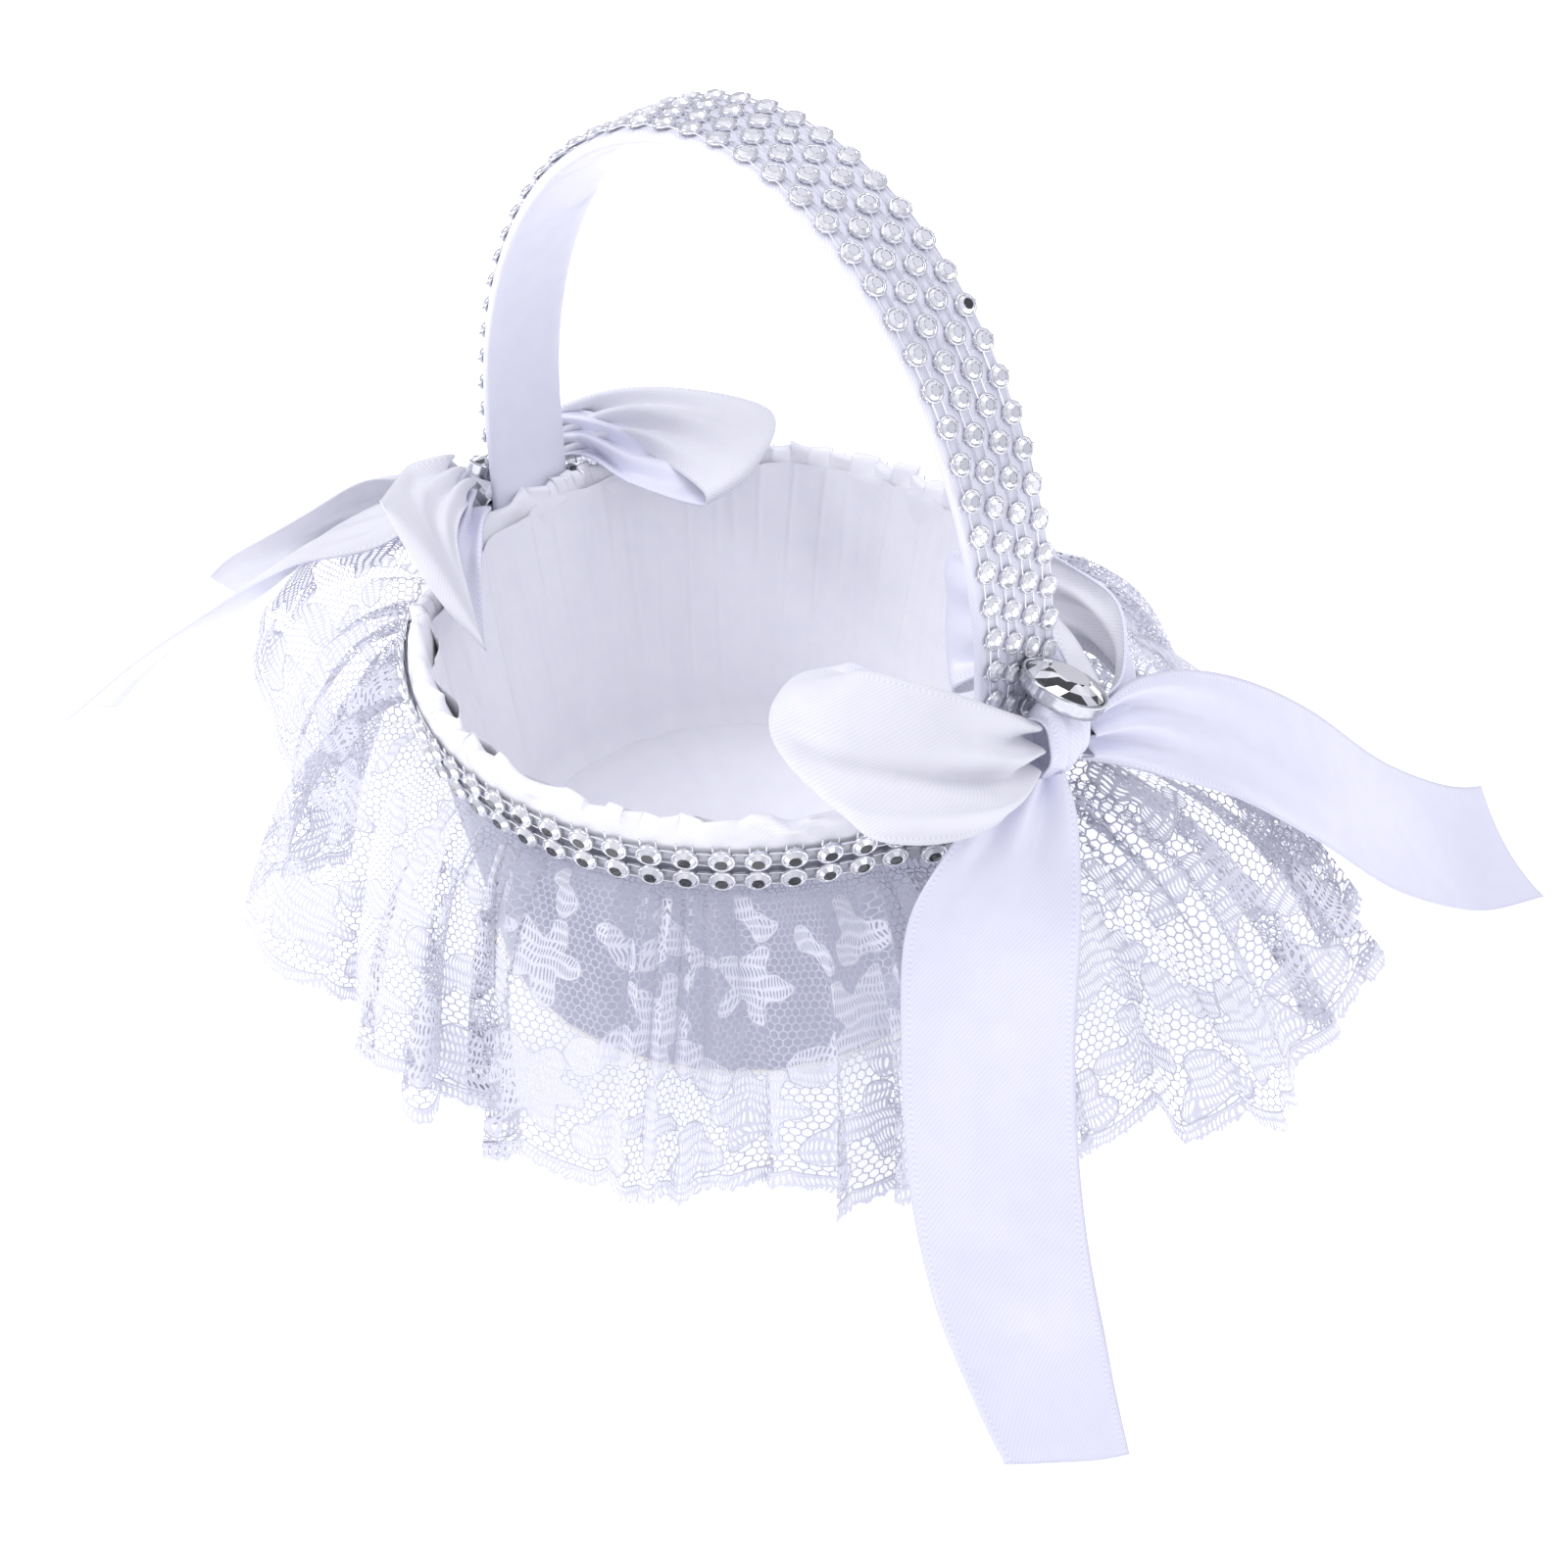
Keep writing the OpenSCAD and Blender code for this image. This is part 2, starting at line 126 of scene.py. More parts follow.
def surface_mesh(name, points, round_closed=False, flip=False, down_closed=False, uv=None):
    """A grid of points in mm, [along, across], as a smooth mesh; its UV map is in units of 100 mm"""
    n, m = points.shape[:2]
    rows = n if round_closed else n - 1
    columns = m if down_closed else m - 1
    i, j = np.meshgrid(np.arange(rows), np.arange(columns), indexing="ij")
    i, j = i.ravel(), j.ravel()
    corners = [(i, j), (i + 1, j), (i + 1, j + 1), (i, j + 1)]
    if flip:
        corners.reverse()
    if uv is None:
        wrapped = np.concatenate([points, points[:1]]) if round_closed else points
        steps = np.linalg.norm(np.diff(wrapped, axis=0), axis=2).mean(axis=1)
        along = np.concatenate([[0], np.cumsum(steps)])
        sideways = np.concatenate([points, points[:, :1]], axis=1) if down_closed else points
        steps = np.linalg.norm(np.diff(sideways, axis=1), axis=2).mean(axis=0)
        across = np.concatenate([[0], np.cumsum(steps)])
        uv = np.stack(np.meshgrid(along, across, indexing="ij"), axis=-1)
    faces = np.stack([(a % n) * m + (b % m) for a, b in corners], axis=1)
    loops = np.stack([uv[a, b] for a, b in corners], axis=1) / 100
    mesh = bpy.data.meshes.new(name)
    mesh.vertices.add(n * m)
    mesh.vertices.foreach_set("co", (points.reshape(-1) / 1000).astype(np.float32))
    mesh.loops.add(faces.size)
    mesh.loops.foreach_set("vertex_index", faces.reshape(-1).astype(np.int32))
    mesh.polygons.add(len(faces))
    mesh.polygons.foreach_set("loop_start", np.arange(0, faces.size, 4, dtype=np.int32))
    mesh.polygons.foreach_set("loop_total", np.full(len(faces), 4, np.int32))
    mesh.uv_layers.new(name="cloth").data.foreach_set("uv", loops.reshape(-1).astype(np.float32))
    mesh.polygons.foreach_set("use_smooth", np.ones(len(faces), bool))
    mesh.update(calc_edges=True)
    mesh.validate()
    return new_object(name, mesh)


def ripples(low, high, count, seed, drift=1.5):
    """Smooth irregular waves round a ring, from -1 to 1: low to high waves round, drifting with height"""
    draw = np.random.default_rng(seed)
    waves = draw.integers(low, high, count)
    starts = draw.uniform(0, 2 * math.pi, count)
    slopes = draw.normal(0, drift, count)
    sizes = draw.uniform(0.5, 1, count)

    def at(a, v):
        total = sum(s * np.sin(w * a + p + q * v) for w, p, q, s in zip(waves, starts, slopes, sizes))
        return np.clip(total / (0.8 * np.sqrt(count)), -1.4, 1.4) / 1.4
    return at


def satin(name, light="#FCFCFF", shade="#EAEAF8", weave_mm=0.42, gloss=0.34, bump_mm=0.02, selvage_mm=None):
    """Polyester satin: long floats give a soft stretched highlight, and the twill runs diagonally.
    The real float is about 0.15 mm, drawn coarser so that it shows. A ribbon has a dotted selvage."""
    material, tree = empty_material(name)
    place = add(tree, "ShaderNodeUVMap", uv_map="cloth")
    place = add(tree, "ShaderNodeVectorMath", {0: place, "Scale": 100.0}, operation="SCALE")
    turn = 2 * math.pi / weave_mm
    line = add(tree, "ShaderNodeVectorMath", [place, (turn * 0.62, turn * 0.78, 0)],
               out=1, operation="DOT_PRODUCT")
    twill = add(tree, "ShaderNodeMath", [line], operation="SINE")
    slub = add(tree, "ShaderNodeTexNoise", {"Vector": place, "Scale": 0.22, "Detail": 2.0})
    height = add(tree, "ShaderNodeMath", [twill, 0.5, slub], operation="MULTIPLY_ADD")
    if selvage_mm:
        run, across, _ = add(tree, "ShaderNodeSeparateXYZ", [place]).node.outputs
        edge = add(tree, "ShaderNodeMath", [across, selvage_mm / 2], operation="SUBTRACT")
        edge = add(tree, "ShaderNodeMath", [edge], operation="ABSOLUTE")
        edge = add(tree, "ShaderNodeMath", [edge, selvage_mm / 2 - 1.1], operation="SUBTRACT")
        edge = add(tree, "ShaderNodeMath", [edge], operation="ABSOLUTE")
        near = add(tree, "ShaderNodeMath", [edge, 0.28], operation="LESS_THAN")
        beads = add(tree, "ShaderNodeMath", [run, 2 * math.pi / 0.9], operation="MULTIPLY")
        beads = add(tree, "ShaderNodeMath", [beads], operation="SINE")
        beads = add(tree, "ShaderNodeMath", [beads, near], operation="MULTIPLY")
        height = add(tree, "ShaderNodeMath", [beads, 1.1, height], operation="MULTIPLY_ADD")
    tone = add(tree, "ShaderNodeMapRange", {"Value": height, 1: -0.6, 2: 1.4})
    colour = add(tree, "ShaderNodeMix", {"Factor": tone, 6: linear(shade), 7: linear(light)},
                 out=2, data_type="RGBA")
    bump = add(tree, "ShaderNodeBump", {"Height": height, "Strength": 0.35, "Distance": bump_mm / 1000})
    surface = add(tree, "ShaderNodeBsdfPrincipled",
                  {"Base Color": colour, "Roughness": gloss, "Specular IOR Level": 0.6, "Sheen Weight": 0.25,
                   "Sheen Roughness": 0.4, "Anisotropic": 0.4, "Normal": bump})
    add(tree, "ShaderNodeOutputMaterial", {"Surface": surface})
    return material


def soft_disc(name, radius, z, crown, thickness, pucker, seed):
    """A closed crowned disc, thinning to its rim"""
    a = np.linspace(0, 2 * math.pi, 192, endpoint=False)[:, None]
    t = np.linspace(0, 1, 22)[None, :]
    waves = ripples(14, 40, 12, seed)(a, 3 * t)
    top = z + thickness + crown * (1 - t ** 2.5) + pucker * waves * t ** 3 * (1 - t ** 12)
    r = radius * (0.02 + 0.98 * t)
    upper = polar(r + 0 * a, a, top - 0.6 * thickness * t ** 14)
    lower = polar(r[:, ::-1] + 0 * a, a, z + 0 * a + 0.2 * thickness * t[:, ::-1] ** 14)
    return surface_mesh(name, np.concatenate([upper, lower], axis=1),
                        round_closed=True, down_closed=True, flip=True)


def cover_with(piece, material, slot, *nodes, body="root"):
    """Gives a piece its material and body, and hides the CAD nodes that it stands for"""
    piece.data.materials.clear()
    piece.data.materials.append(material)
    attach(piece, body)
    if nodes:
        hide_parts(*nodes)
    return piece


wadding_white = satin("matt polyester wadding", "#F4F3EE", "#E4E2DA", weave_mm=1.4, gloss=0.95)
pad = soft_disc("wadding_disc", base_r - card_t - 0.8, 2.6, 0.0, 3.3, 0.1, seed=3)
cover_with(pad, wadding_white, "wadding", "bottom_pad")

lining_satin = satin("white lining satin, glossy floats", "#FFFFFF", "#F0F0FA", gloss=0.27)
floor_r = shell_at(floor_z) - card_t - satin_t - 0.5
discs = [("base_satin", base_r - 0.4, 0.0, 0.0, 0.0, 4, "base_cover", "stretched", "base_board"),
         ("floor_satin", floor_r, floor_z, 0.9, 0.5, 5, "lining_floor", "laid", "wadding_disc")]
for name, radius, z, crown, pucker, seed, stands_for, held, under in discs:
    disc = soft_disc(name, radius, z, crown, 0.5, pucker, seed)
    cover_with(disc, lining_satin, "satin", stands_for)

# ---------------------------------------------------------------------------
# Gathered satin on the wall inside, and the scrunched frill over the rim
# One strip of satin, gathered on a thread along its top edge and glued over the card's rim. The
# gathers run down as soft irregular folds, and the thread scrunches the top into a frill.
# ---------------------------------------------------------------------------
frill_h = 4.0
gathers = ripples(9, 34, 20, seed=11, drift=1.8)
creases = ripples(16, 34, 12, seed=13, drift=1.4)
wide_folds = ripples(5, 13, 7, seed=12, drift=1.2)


def lining_wall():
    a = np.linspace(0, 2 * math.pi, 900, endpoint=False)[:, None]
    v = np.linspace(0, 1, 46)[None, :]
    z = floor_z + 0.3 + v * (shell_h + 0.8 - floor_z)
    fold = 0.5 + 0.5 * gathers(a, 1.6 * v)
    ridge = np.exp(-(creases(a, 1.2 * v) / 0.22) ** 2)
    wide = wide_folds(a, v)
    depth = (0.5 + 1.5 * v ** 1.2) * fold + 0.3 * (0.1 + v) * ridge + 0.8 * (0.3 + 0.7 * v) * (wide + 0.7)
    foot = 2.0 * np.clip(1 - v * 14, 0, 1) ** 2
    points = polar(shell_at(z) - card_t - 0.35 - depth - foot, a, z)
    return surface_mesh("wall_satin", points, round_closed=True)


wall = cover_with(lining_wall(), lining_satin, "satin", "lining_wall")


def frill():
    """The cloth comes up inside the rim, folds over and goes down behind the stone band"""
    half, inner, outer = 0.75, -5.0, -1.2
    s = np.linspace(0, 1, 30)[None, :]
    a = np.linspace(0, 2 * math.pi, 1500, endpoint=False)[:, None]
    crest = frill_h * (0.84 + 0.16 * ripples(20, 60, 14, seed=21)(a, 0 * s))
    arc = np.clip((s - 0.42) / 0.16, 0, 1) * math.pi
    height = np.where(s < 0.5, inner + (crest - half - inner) * np.clip(s / 0.42, 0, 1),
                      outer + (crest - half - outer) * np.clip((1 - s) / 0.42, 0, 1)) + half * np.sin(arc)
    across = -np.cos(arc) * (half + 1.25 * (1 - np.clip(height / frill_h, 0, 1)) ** 1.4)
    rise = np.clip(height / frill_h, 0, 1.2) ** 1.3
    back = 0.5 + 0.5 * np.sin(a)
    wave = 38 * a + 2.4 * ripples(5, 11, 6, seed=23)(a, 0 * s) * math.pi
    swell = ripples(20, 60, 14, seed=24, drift=3)(a, rise)
    lean = rise * ((0.8 + 0.5 * back) * np.sin(wave) + 0.7 * swell + 0.1)
    shift = rise * (0.7 + 0.5 * back) * np.sin(2 * wave + 0.6)
    puff = 1 + 0.35 * swell * rise
    points = polar(50.5 + across * puff + lean, a + shift / 50, shell_h + height + 0.35 * rise * swell)
    return surface_mesh("rim_frill", points, round_closed=True)


frill_piece = cover_with(frill(), lining_satin, "satin", "rim_ruffle")

# ---------------------------------------------------------------------------
# Satin on the outside of the bowl
# A second strip of satin wraps the outside. It shows through the lace. The real satin is white: its
# colour here is greyed to stand for the lace's shade, so under other lights it looks dirty.
# ---------------------------------------------------------------------------
handle_y = 2.5
foot_angle = math.asin(handle_y / (rim_r + 3))


def smooth(v):
    v = np.clip(v, 0, 1)
    return v * v * (3 - 2 * v)


def layer(a, z, g):
    """Radius of a cover that lies g outside the card and goes round the handle's feet"""
    def turn(b):
        return np.abs((np.degrees(b) + 540) % 360 - 180)
    from_leg = np.minimum(turn(a - foot_angle), turn(a - math.pi + foot_angle))
    return shell_at(z) + g + 4 * (1 - smooth((from_leg - 11) / 14)) * smooth((z - 12) / 12)


def outer_wall():
    a = np.linspace(0, 2 * math.pi, 720, endpoint=False)[:, None]
    z = np.linspace(0.7, shell_h - 0.3, 40)[None, :]
    folds = ripples(18, 50, 16, seed=31, drift=2)(a, z / 30)
    return surface_mesh("outer_satin", polar(layer(a, z, 0.35 + 0.3 * folds), a, z), round_closed=True)


shaded_satin = satin("white satin under the lace", "#C8C9D9", "#B4B5C8")
outer = cover_with(outer_wall(), shaded_satin, "satin", "outer_cover")

# ---------------------------------------------------------------------------
# Handle: a stiff plastic strip wrapped in satin ribbon, stapled to the bowl
# The ribbon is wound at a slant, so each turn ends in a faint diagonal step. The strip inside and
# the wire staples are hidden.
# ---------------------------------------------------------------------------
handle_half_span, spring_z, handle_top = 51.9, 73.0, 139.0
handle_w, handle_t, foot_z = 16.0, 2.4, 30.0


def strap_path(d, z0, count=260):
    """The strap's line, d outside its inner face, from the right foot over the top, and its normals"""
    up = np.linspace(z0, spring_z, 24, endpoint=False)
    legs = handle_half_span + d - np.clip(shell_h - up, 0, None) * taper
    t = np.linspace(0, math.pi, count)
    x = np.concatenate([legs, (handle_half_span + d) * np.cos(t), -legs[::-1]])
    z = np.concatenate([up, spring_z + (handle_top - spring_z + d) * np.sin(t), up[::-1]])
    step = np.stack([np.gradient(x), np.gradient(z)], axis=1)
    step /= np.linalg.norm(step, axis=1)[:, None]
    run = np.concatenate([[0], np.cumsum(np.hypot(np.diff(x), np.diff(z)))])
    return np.stack([x, z], axis=1), np.stack([step[:, 1], -step[:, 0]], axis=1), run


def handle_wrap():
    line, normal, run = strap_path(handle_t / 2, foot_z)
    corner, winding = 0.9, 24.0
    q = np.linspace(0, 2 * math.pi, 45)
    c, s = np.cos(q), np.sin(q)
    side = np.sign(c) * np.abs(c) ** 0.28 * handle_w / 2
    out = np.sign(s) * np.abs(s) ** 0.6 * (handle_t / 2 - 0.15)
    turn = (run[:, None] + side[None, :] * 0.9) / winding % 1
    lift = 0.22 * smooth(turn / 0.04) * (1 - 0.9 * turn)
    away = out + np.sign(out) * lift * np.abs(s) ** corner
    xz = line[:, None, :] + normal[:, None, :] * away[..., None]
    points = np.stack([xz[..., 0], handle_y + side + 0 * away, xz[..., 1]], axis=-1)
    return surface_mesh("handle_satin", points, flip=True)


wound_satin = satin("white satin ribbon, wound", "#F8F8FF", "#E4E4F4")
wrap = cover_with(handle_wrap(), wound_satin, "satin", "handle_wrap")


def plain(name, colour, rough, metal=0.0, grain_mm=0.6, second=None, depth_mm=0.02):
    """Moulded plastic or drawn wire: one colour that a fine grain varies"""
    material, tree = empty_material(name)
    place = add(tree, "ShaderNodeTexCoord", out="Object")
    grain = add(tree, "ShaderNodeTexNoise", {"Vector": place, "Scale": 1000 / grain_mm, "Detail": 2.0})
    tone = add(tree, "ShaderNodeMix", {"Factor": grain, 6: linear(colour), 7: linear(second or colour)},
               out=2, data_type="RGBA")
    bump = add(tree, "ShaderNodeBump", {"Height": grain, "Strength": 0.2, "Distance": depth_mm / 1000})
    surface = add(tree, "ShaderNodeBsdfPrincipled",
                  {"Base Color": tone, "Roughness": rough, "Metallic": metal, "Normal": bump})
    add(tree, "ShaderNodeOutputMaterial", {"Surface": surface})
    return material


finish_node("handle_core", plain("extruded white polypropylene strip", "#ECECEA", 0.5, second="#F6F6F4"))
finish_node("handle_staples", plain("bright drawn steel wire", "#BFC0C2", 0.28, metal=1.0, second="#D3D4D6"))

# ---------------------------------------------------------------------------
# Rhinestone mesh on the handle
# A net of metallised plastic cups, joined along each column by twin bars, with a foil-backed acrylic
# stone in every cup. It is sold as a sheet and cut to width, so bars end in stubs at its edges.
# ---------------------------------------------------------------------------
handle_pitch, column_pitch = 5.2, 4.0


def rhinestone_tree(name):
    """Geometry Nodes: a cup, a faceted stone and bars on every point, turned by its normal and its run"""
    tree = bpy.data.node_groups.new(name, "GeometryNodeTree")
    sizes = [("Stone radius", 1.5), ("Bar length", 2.2), ("Bar gap", 1.3), ("Bar radius", 0.16),
             ("Cross length", 0.0), ("Post height", 0.0)]
    tree.interface.new_socket("Points", in_out="INPUT", socket_type="NodeSocketGeometry")
    for label, size in sizes:
        tree.interface.new_socket(label, in_out="INPUT", socket_type="NodeSocketFloat").default_value = size
    for label in ("Metal", "Stone"):
        tree.interface.new_socket(label, in_out="INPUT", socket_type="NodeSocketMaterial")
    tree.interface.new_socket("Mesh", in_out="OUTPUT", socket_type="NodeSocketGeometry")
    given = add(tree, "NodeGroupInput").node.outputs
    mm = 0.001
    radius = add(tree, "ShaderNodeMath", [given["Stone radius"], mm], operation="MULTIPLY")

    def times(socket, factor):
        return add(tree, "ShaderNodeMath", [socket, factor], operation="MULTIPLY")

    def lay(mesh, place, turn=(0, 0, 0)):
        return add(tree, "GeometryNodeTransform", {"Geometry": mesh, "Translation": place, "Rotation": turn})

    # the stone: a crown of flat facets round a sunk heart; the material paints a share of the heart's facets
    # dark, a painted reflection
    crown = add(tree, "GeometryNodeMeshCone", {"Vertices": 10, "Radius Top": times(radius, 0.62),
                                               "Radius Bottom": radius, "Depth": times(radius, 0.34)},
                fill_type="NONE")
    heart = add(tree, "GeometryNodeMeshCone",
                {"Vertices": 6, "Radius Top": times(radius, 0.62), "Radius Bottom": times(radius, 0.12),
                 "Depth": times(radius, 0.22)}, fill_type="NGON")
    high = add(tree, "ShaderNodeCombineXYZ", [0, 0, times(radius, 0.44)])
    low = add(tree, "ShaderNodeCombineXYZ", [0, 0, times(radius, 0.56)])
    crown = lay(crown, high)
    bright = add(tree, "GeometryNodeStoreNamedAttribute",
                 {"Geometry": crown, "Name": "heart", "Value": 0.0}, data_type="FLOAT", domain="FACE")
    dark = add(tree, "GeometryNodeStoreNamedAttribute",
               {"Geometry": lay(heart, low), "Name": "heart", "Value": 1.0}, data_type="FLOAT", domain="FACE")
    stone = add(tree, "GeometryNodeJoinGeometry")
    for part in (bright, dark):
        tree.links.new(part, stone.node.inputs[0])

    # the cup: a low ring with a lip
    ring = add(tree, "GeometryNodeCurvePrimitiveCircle", {"Resolution": 14, "Radius": times(radius, 1.13)})
    lip = add(tree, "GeometryNodeCurvePrimitiveQuadrilateral",
              {"Width": times(radius, 0.22), "Height": times(radius, 0.5)})
    cup = add(tree, "GeometryNodeCurveToMesh", {"Curve": ring, "Profile Curve": lip})
    cup = lay(cup, add(tree, "ShaderNodeCombineXYZ", [0, 0, times(radius, 0.25)]))

    # twin bars along the run, a cross bar, and cut posts
    def bar(length, place, turn):
        rod = add(tree, "GeometryNodeMeshCylinder", {"Vertices": 6, "Radius": times(given["Bar radius"], mm),
                                                     "Depth": times(length, mm)})
        return lay(rod, place, turn)
    metal_parts = [cup]
    for side in (-1, 1):
        off = times(given["Bar gap"], side * mm)
        ahead = add(tree, "ShaderNodeMath", [times(given["Bar length"], mm / 2), radius], operation="ADD")
        metal_parts.append(bar(given["Bar length"], add(tree, "ShaderNodeCombineXYZ", [ahead, off, 0.0002]),
                               (0, math.pi / 2, 0)))
        tall = add(tree, "ShaderNodeMath", [times(given["Post height"], mm / 2), times(radius, 1.2)],
                   operation="ADD")
        metal_parts.append(bar(given["Post height"], add(tree, "ShaderNodeCombineXYZ", [off, tall, 0.0003]),
                               (math.pi / 2, 0, 0)))
    metal_parts.append(bar(given["Cross length"], (0, 0, 0.0002), (math.pi / 2, 0, 0)))
    metal = add(tree, "GeometryNodeJoinGeometry")
    for part in metal_parts:
        tree.links.new(part, metal.node.inputs[0])

    # set on the points, facing out, with the run along X
    out = add(tree, "GeometryNodeInputNamedAttribute", {"Name": "facing"}, data_type="FLOAT_VECTOR")
    run = add(tree, "GeometryNodeInputNamedAttribute", {"Name": "run"}, data_type="FLOAT_VECTOR")
    turn = add(tree, "FunctionNodeAlignRotationToVector", {"Vector": out}, axis="Z")
    turn = add(tree, "FunctionNodeAlignRotationToVector", {"Rotation": turn, "Vector": run},
               axis="X", pivot_axis="Z")
    parts = []
    for mesh, slot in ((stone, "Stone"), (metal, "Metal")):
        set_on = add(tree, "GeometryNodeInstanceOnPoints",
                     {"Points": given["Points"], "Instance": mesh, "Rotation": turn})
        real = add(tree, "GeometryNodeRealizeInstances", {"Geometry": set_on})
        if slot == "Stone":
            # each facet gets a random value, which picks its painted glint grey and whether a heart facet
            # takes a painted dark reflection
            index = add(tree, "GeometryNodeInputIndex")
            painted_glint_pick = add(tree, "FunctionNodeRandomValue", {"ID": index, "Seed": 4}, out=1, data_type="FLOAT")
            real = add(tree, "GeometryNodeStoreNamedAttribute",
                       {"Geometry": real, "Name": "painted_glint_pick", "Value": painted_glint_pick}, data_type="FLOAT", domain="FACE")
        parts.append(add(tree, "GeometryNodeSetMaterial", {"Geometry": real, "Material": given[slot]}))
    return tree, parts


def rhinestones(name, place, facing, run, sizes, metal, stone, want):
    """Makes the cups and bars, or the stones, of one net as a plain mesh"""
    tree, (stone_part, metal_part) = rhinestone_tree(name)
    add(tree, "NodeGroupOutput", {"Mesh": stone_part if want == "Stone" else metal_part})
    mesh = bpy.data.meshes.new(name)
    mesh.from_pydata([tuple(p / 1000) for p in place], [], [])
    for label, vectors in (("facing", facing), ("run", run)):
        attribute = mesh.attributes.new(label, "FLOAT_VECTOR", "POINT")
        attribute.data.foreach_set("vector", np.asarray(vectors, np.float32).reshape(-1))
    seed_points = new_object(name + "_points", mesh)
    modifier = seed_points.modifiers.new("net", "NODES")
    modifier.node_group = tree
    values = dict(sizes, Metal=metal, Stone=stone)
    for item in tree.interface.items_tree:
        if item.in_out == "INPUT" and item.name in values:
            modifier[item.identifier] = values[item.name]
    bpy.context.view_layer.update()
    graph = bpy.context.evaluated_depsgraph_get()
    made = bpy.data.meshes.new_from_object(seed_points.evaluated_get(graph), depsgraph=graph)
    bpy.data.objects.remove(seed_points)
    made.name = name
    return new_object(name, made)


def acrylic_stone(name, dark_reflection_share):
    """Foil-backed acrylic with painted reflections: bright facets, each its own grey of painted glint, with
    this share of the heart's facets painted dark as a reflection
    """
    material, tree = empty_material(name)
    heart = add(tree, "ShaderNodeAttribute", attribute_name="heart", out=2)
    painted_glint_pick = add(tree, "ShaderNodeAttribute", attribute_name="painted_glint_pick", out=2)
    crown = add(tree, "ShaderNodeMix", {"Factor": painted_glint_pick, 6: linear("#E6E7EC"), 7: linear("#FFFFFF")},
                out=2, data_type="RGBA")
    # a heart facet whose random pick falls under the share is painted near-black: a painted dark reflection
    cut = add(tree, "ShaderNodeMath", [painted_glint_pick, dark_reflection_share], operation="LESS_THAN")
    deep = add(tree, "ShaderNodeMix", {"Factor": cut, 6: linear("#E6E7EC"), 7: linear("#26272B")},
               out=2, data_type="RGBA")
    colour = add(tree, "ShaderNodeMix", {"Factor": heart, 6: crown, 7: deep}, out=2, data_type="RGBA")
    surface = add(tree, "ShaderNodeBsdfPrincipled",
                  {"Base Color": colour, "Roughness": 0.08, "Metallic": 0.5, "Coat Weight": 1.0,
                   "Coat Roughness": 0.03, "Coat IOR": 1.49})
    add(tree, "ShaderNodeOutputMaterial", {"Surface": surface})
    return material


silver_plastic = plain("vacuum-metallised plastic, silver", "#DADBE0", 0.22, metal=0.9, second="#F4F4F8")
# share of heart facets painted dark as a reflection: few on the handle's stones, most on the band's
clear_stone = acrylic_stone("clear foil-backed acrylic", 0.06)
dark_reflection_stone = acrylic_stone("clear foil-backed acrylic, painted dark reflections", 0.93)


def handle_points():
    line, normal, run = strap_path(handle_t + 0.12, shell_h + 1.5, count=600)
    rows = int((run[-1] - handle_pitch) / handle_pitch)
    start = (run[-1] - (rows - 0.5) * handle_pitch) / 2
    place, facing, along = [], [], []
    for column in range(4):
        for row in range(rows):
            s = start + (row + (column % 2) / 2) * handle_pitch
            x, z, nx, nz = (np.interp(s, run, v) for v in (*line.T, *normal.T))
            place.append(np.array([x, handle_y + (column - 1.5) * column_pitch, z]))
            facing.append((nx, 0, nz))
            along.append((-nz, 0, nx))
    return place, facing, along


handle_sizes = {"Stone radius": 1.36, "Bar length": 2.5, "Bar gap": 0.85, "Bar radius": 0.14,
                "Cross length": 4.6, "Post height": 0.001}
where = handle_points()
cover_with(rhinestones("handle_net", *where, handle_sizes, silver_plastic, clear_stone, "Metal"),
           silver_plastic, "silver_mesh", "handle_mesh")
cover_with(rhinestones("handle_rhinestones", *where, handle_sizes, silver_plastic, clear_stone, "Stone"),
           clear_stone, "stone", "handle_stones")

# ---------------------------------------------------------------------------
# Lace flounce
# One strip of machine-made floral lace, gathered under the stone band to less than half its length.
# It arches out over the satin and falls in irregular flutes to a scalloped hem, stiff enough to stand.
# ---------------------------------------------------------------------------
band_bottom, lace_out, lace_arch = 49.4, 1.35, 9.0
hem = [(0, 90, 8), (8, 94, 5), (15, 104, 6), (22, 106, 11), (30, 105, 14), (40, 94, 11), (53, 96, 18),
       (63, 88, 11), (73, 95, 18), (84, 88, 10), (94, 96, 17), (106, 87, 10), (118, 97, 18), (130, 88, 11),
       (141, 97, 19), (152, 89, 12), (163, 98, 22), (174, 96, 20), (187, 101, 27), (199, 99, 25),
       (209, 86, 11), (219, 69, 5), (229, 79, 7), (238, 85, 9), (248, 76, 4), (259, 69, 2), (270, 68, 2),
       (281, 67, 2), (292, 71, 3), (303, 72, 3), (313, 67, 2), (324, 71, 3), (336, 81, 6), (347, 84, 8)]
lace_strip = 760.0


def ring_lookup(a, table, column):
    """A value from a table of angles in degrees, taken smoothly round the ring"""
    angles = [row[0] for row in table] + [table[0][0] + 360]
    values = [row[column] for row in table] + [table[0][column]]
    return np.interp(np.degrees(a) % 360, angles, values)


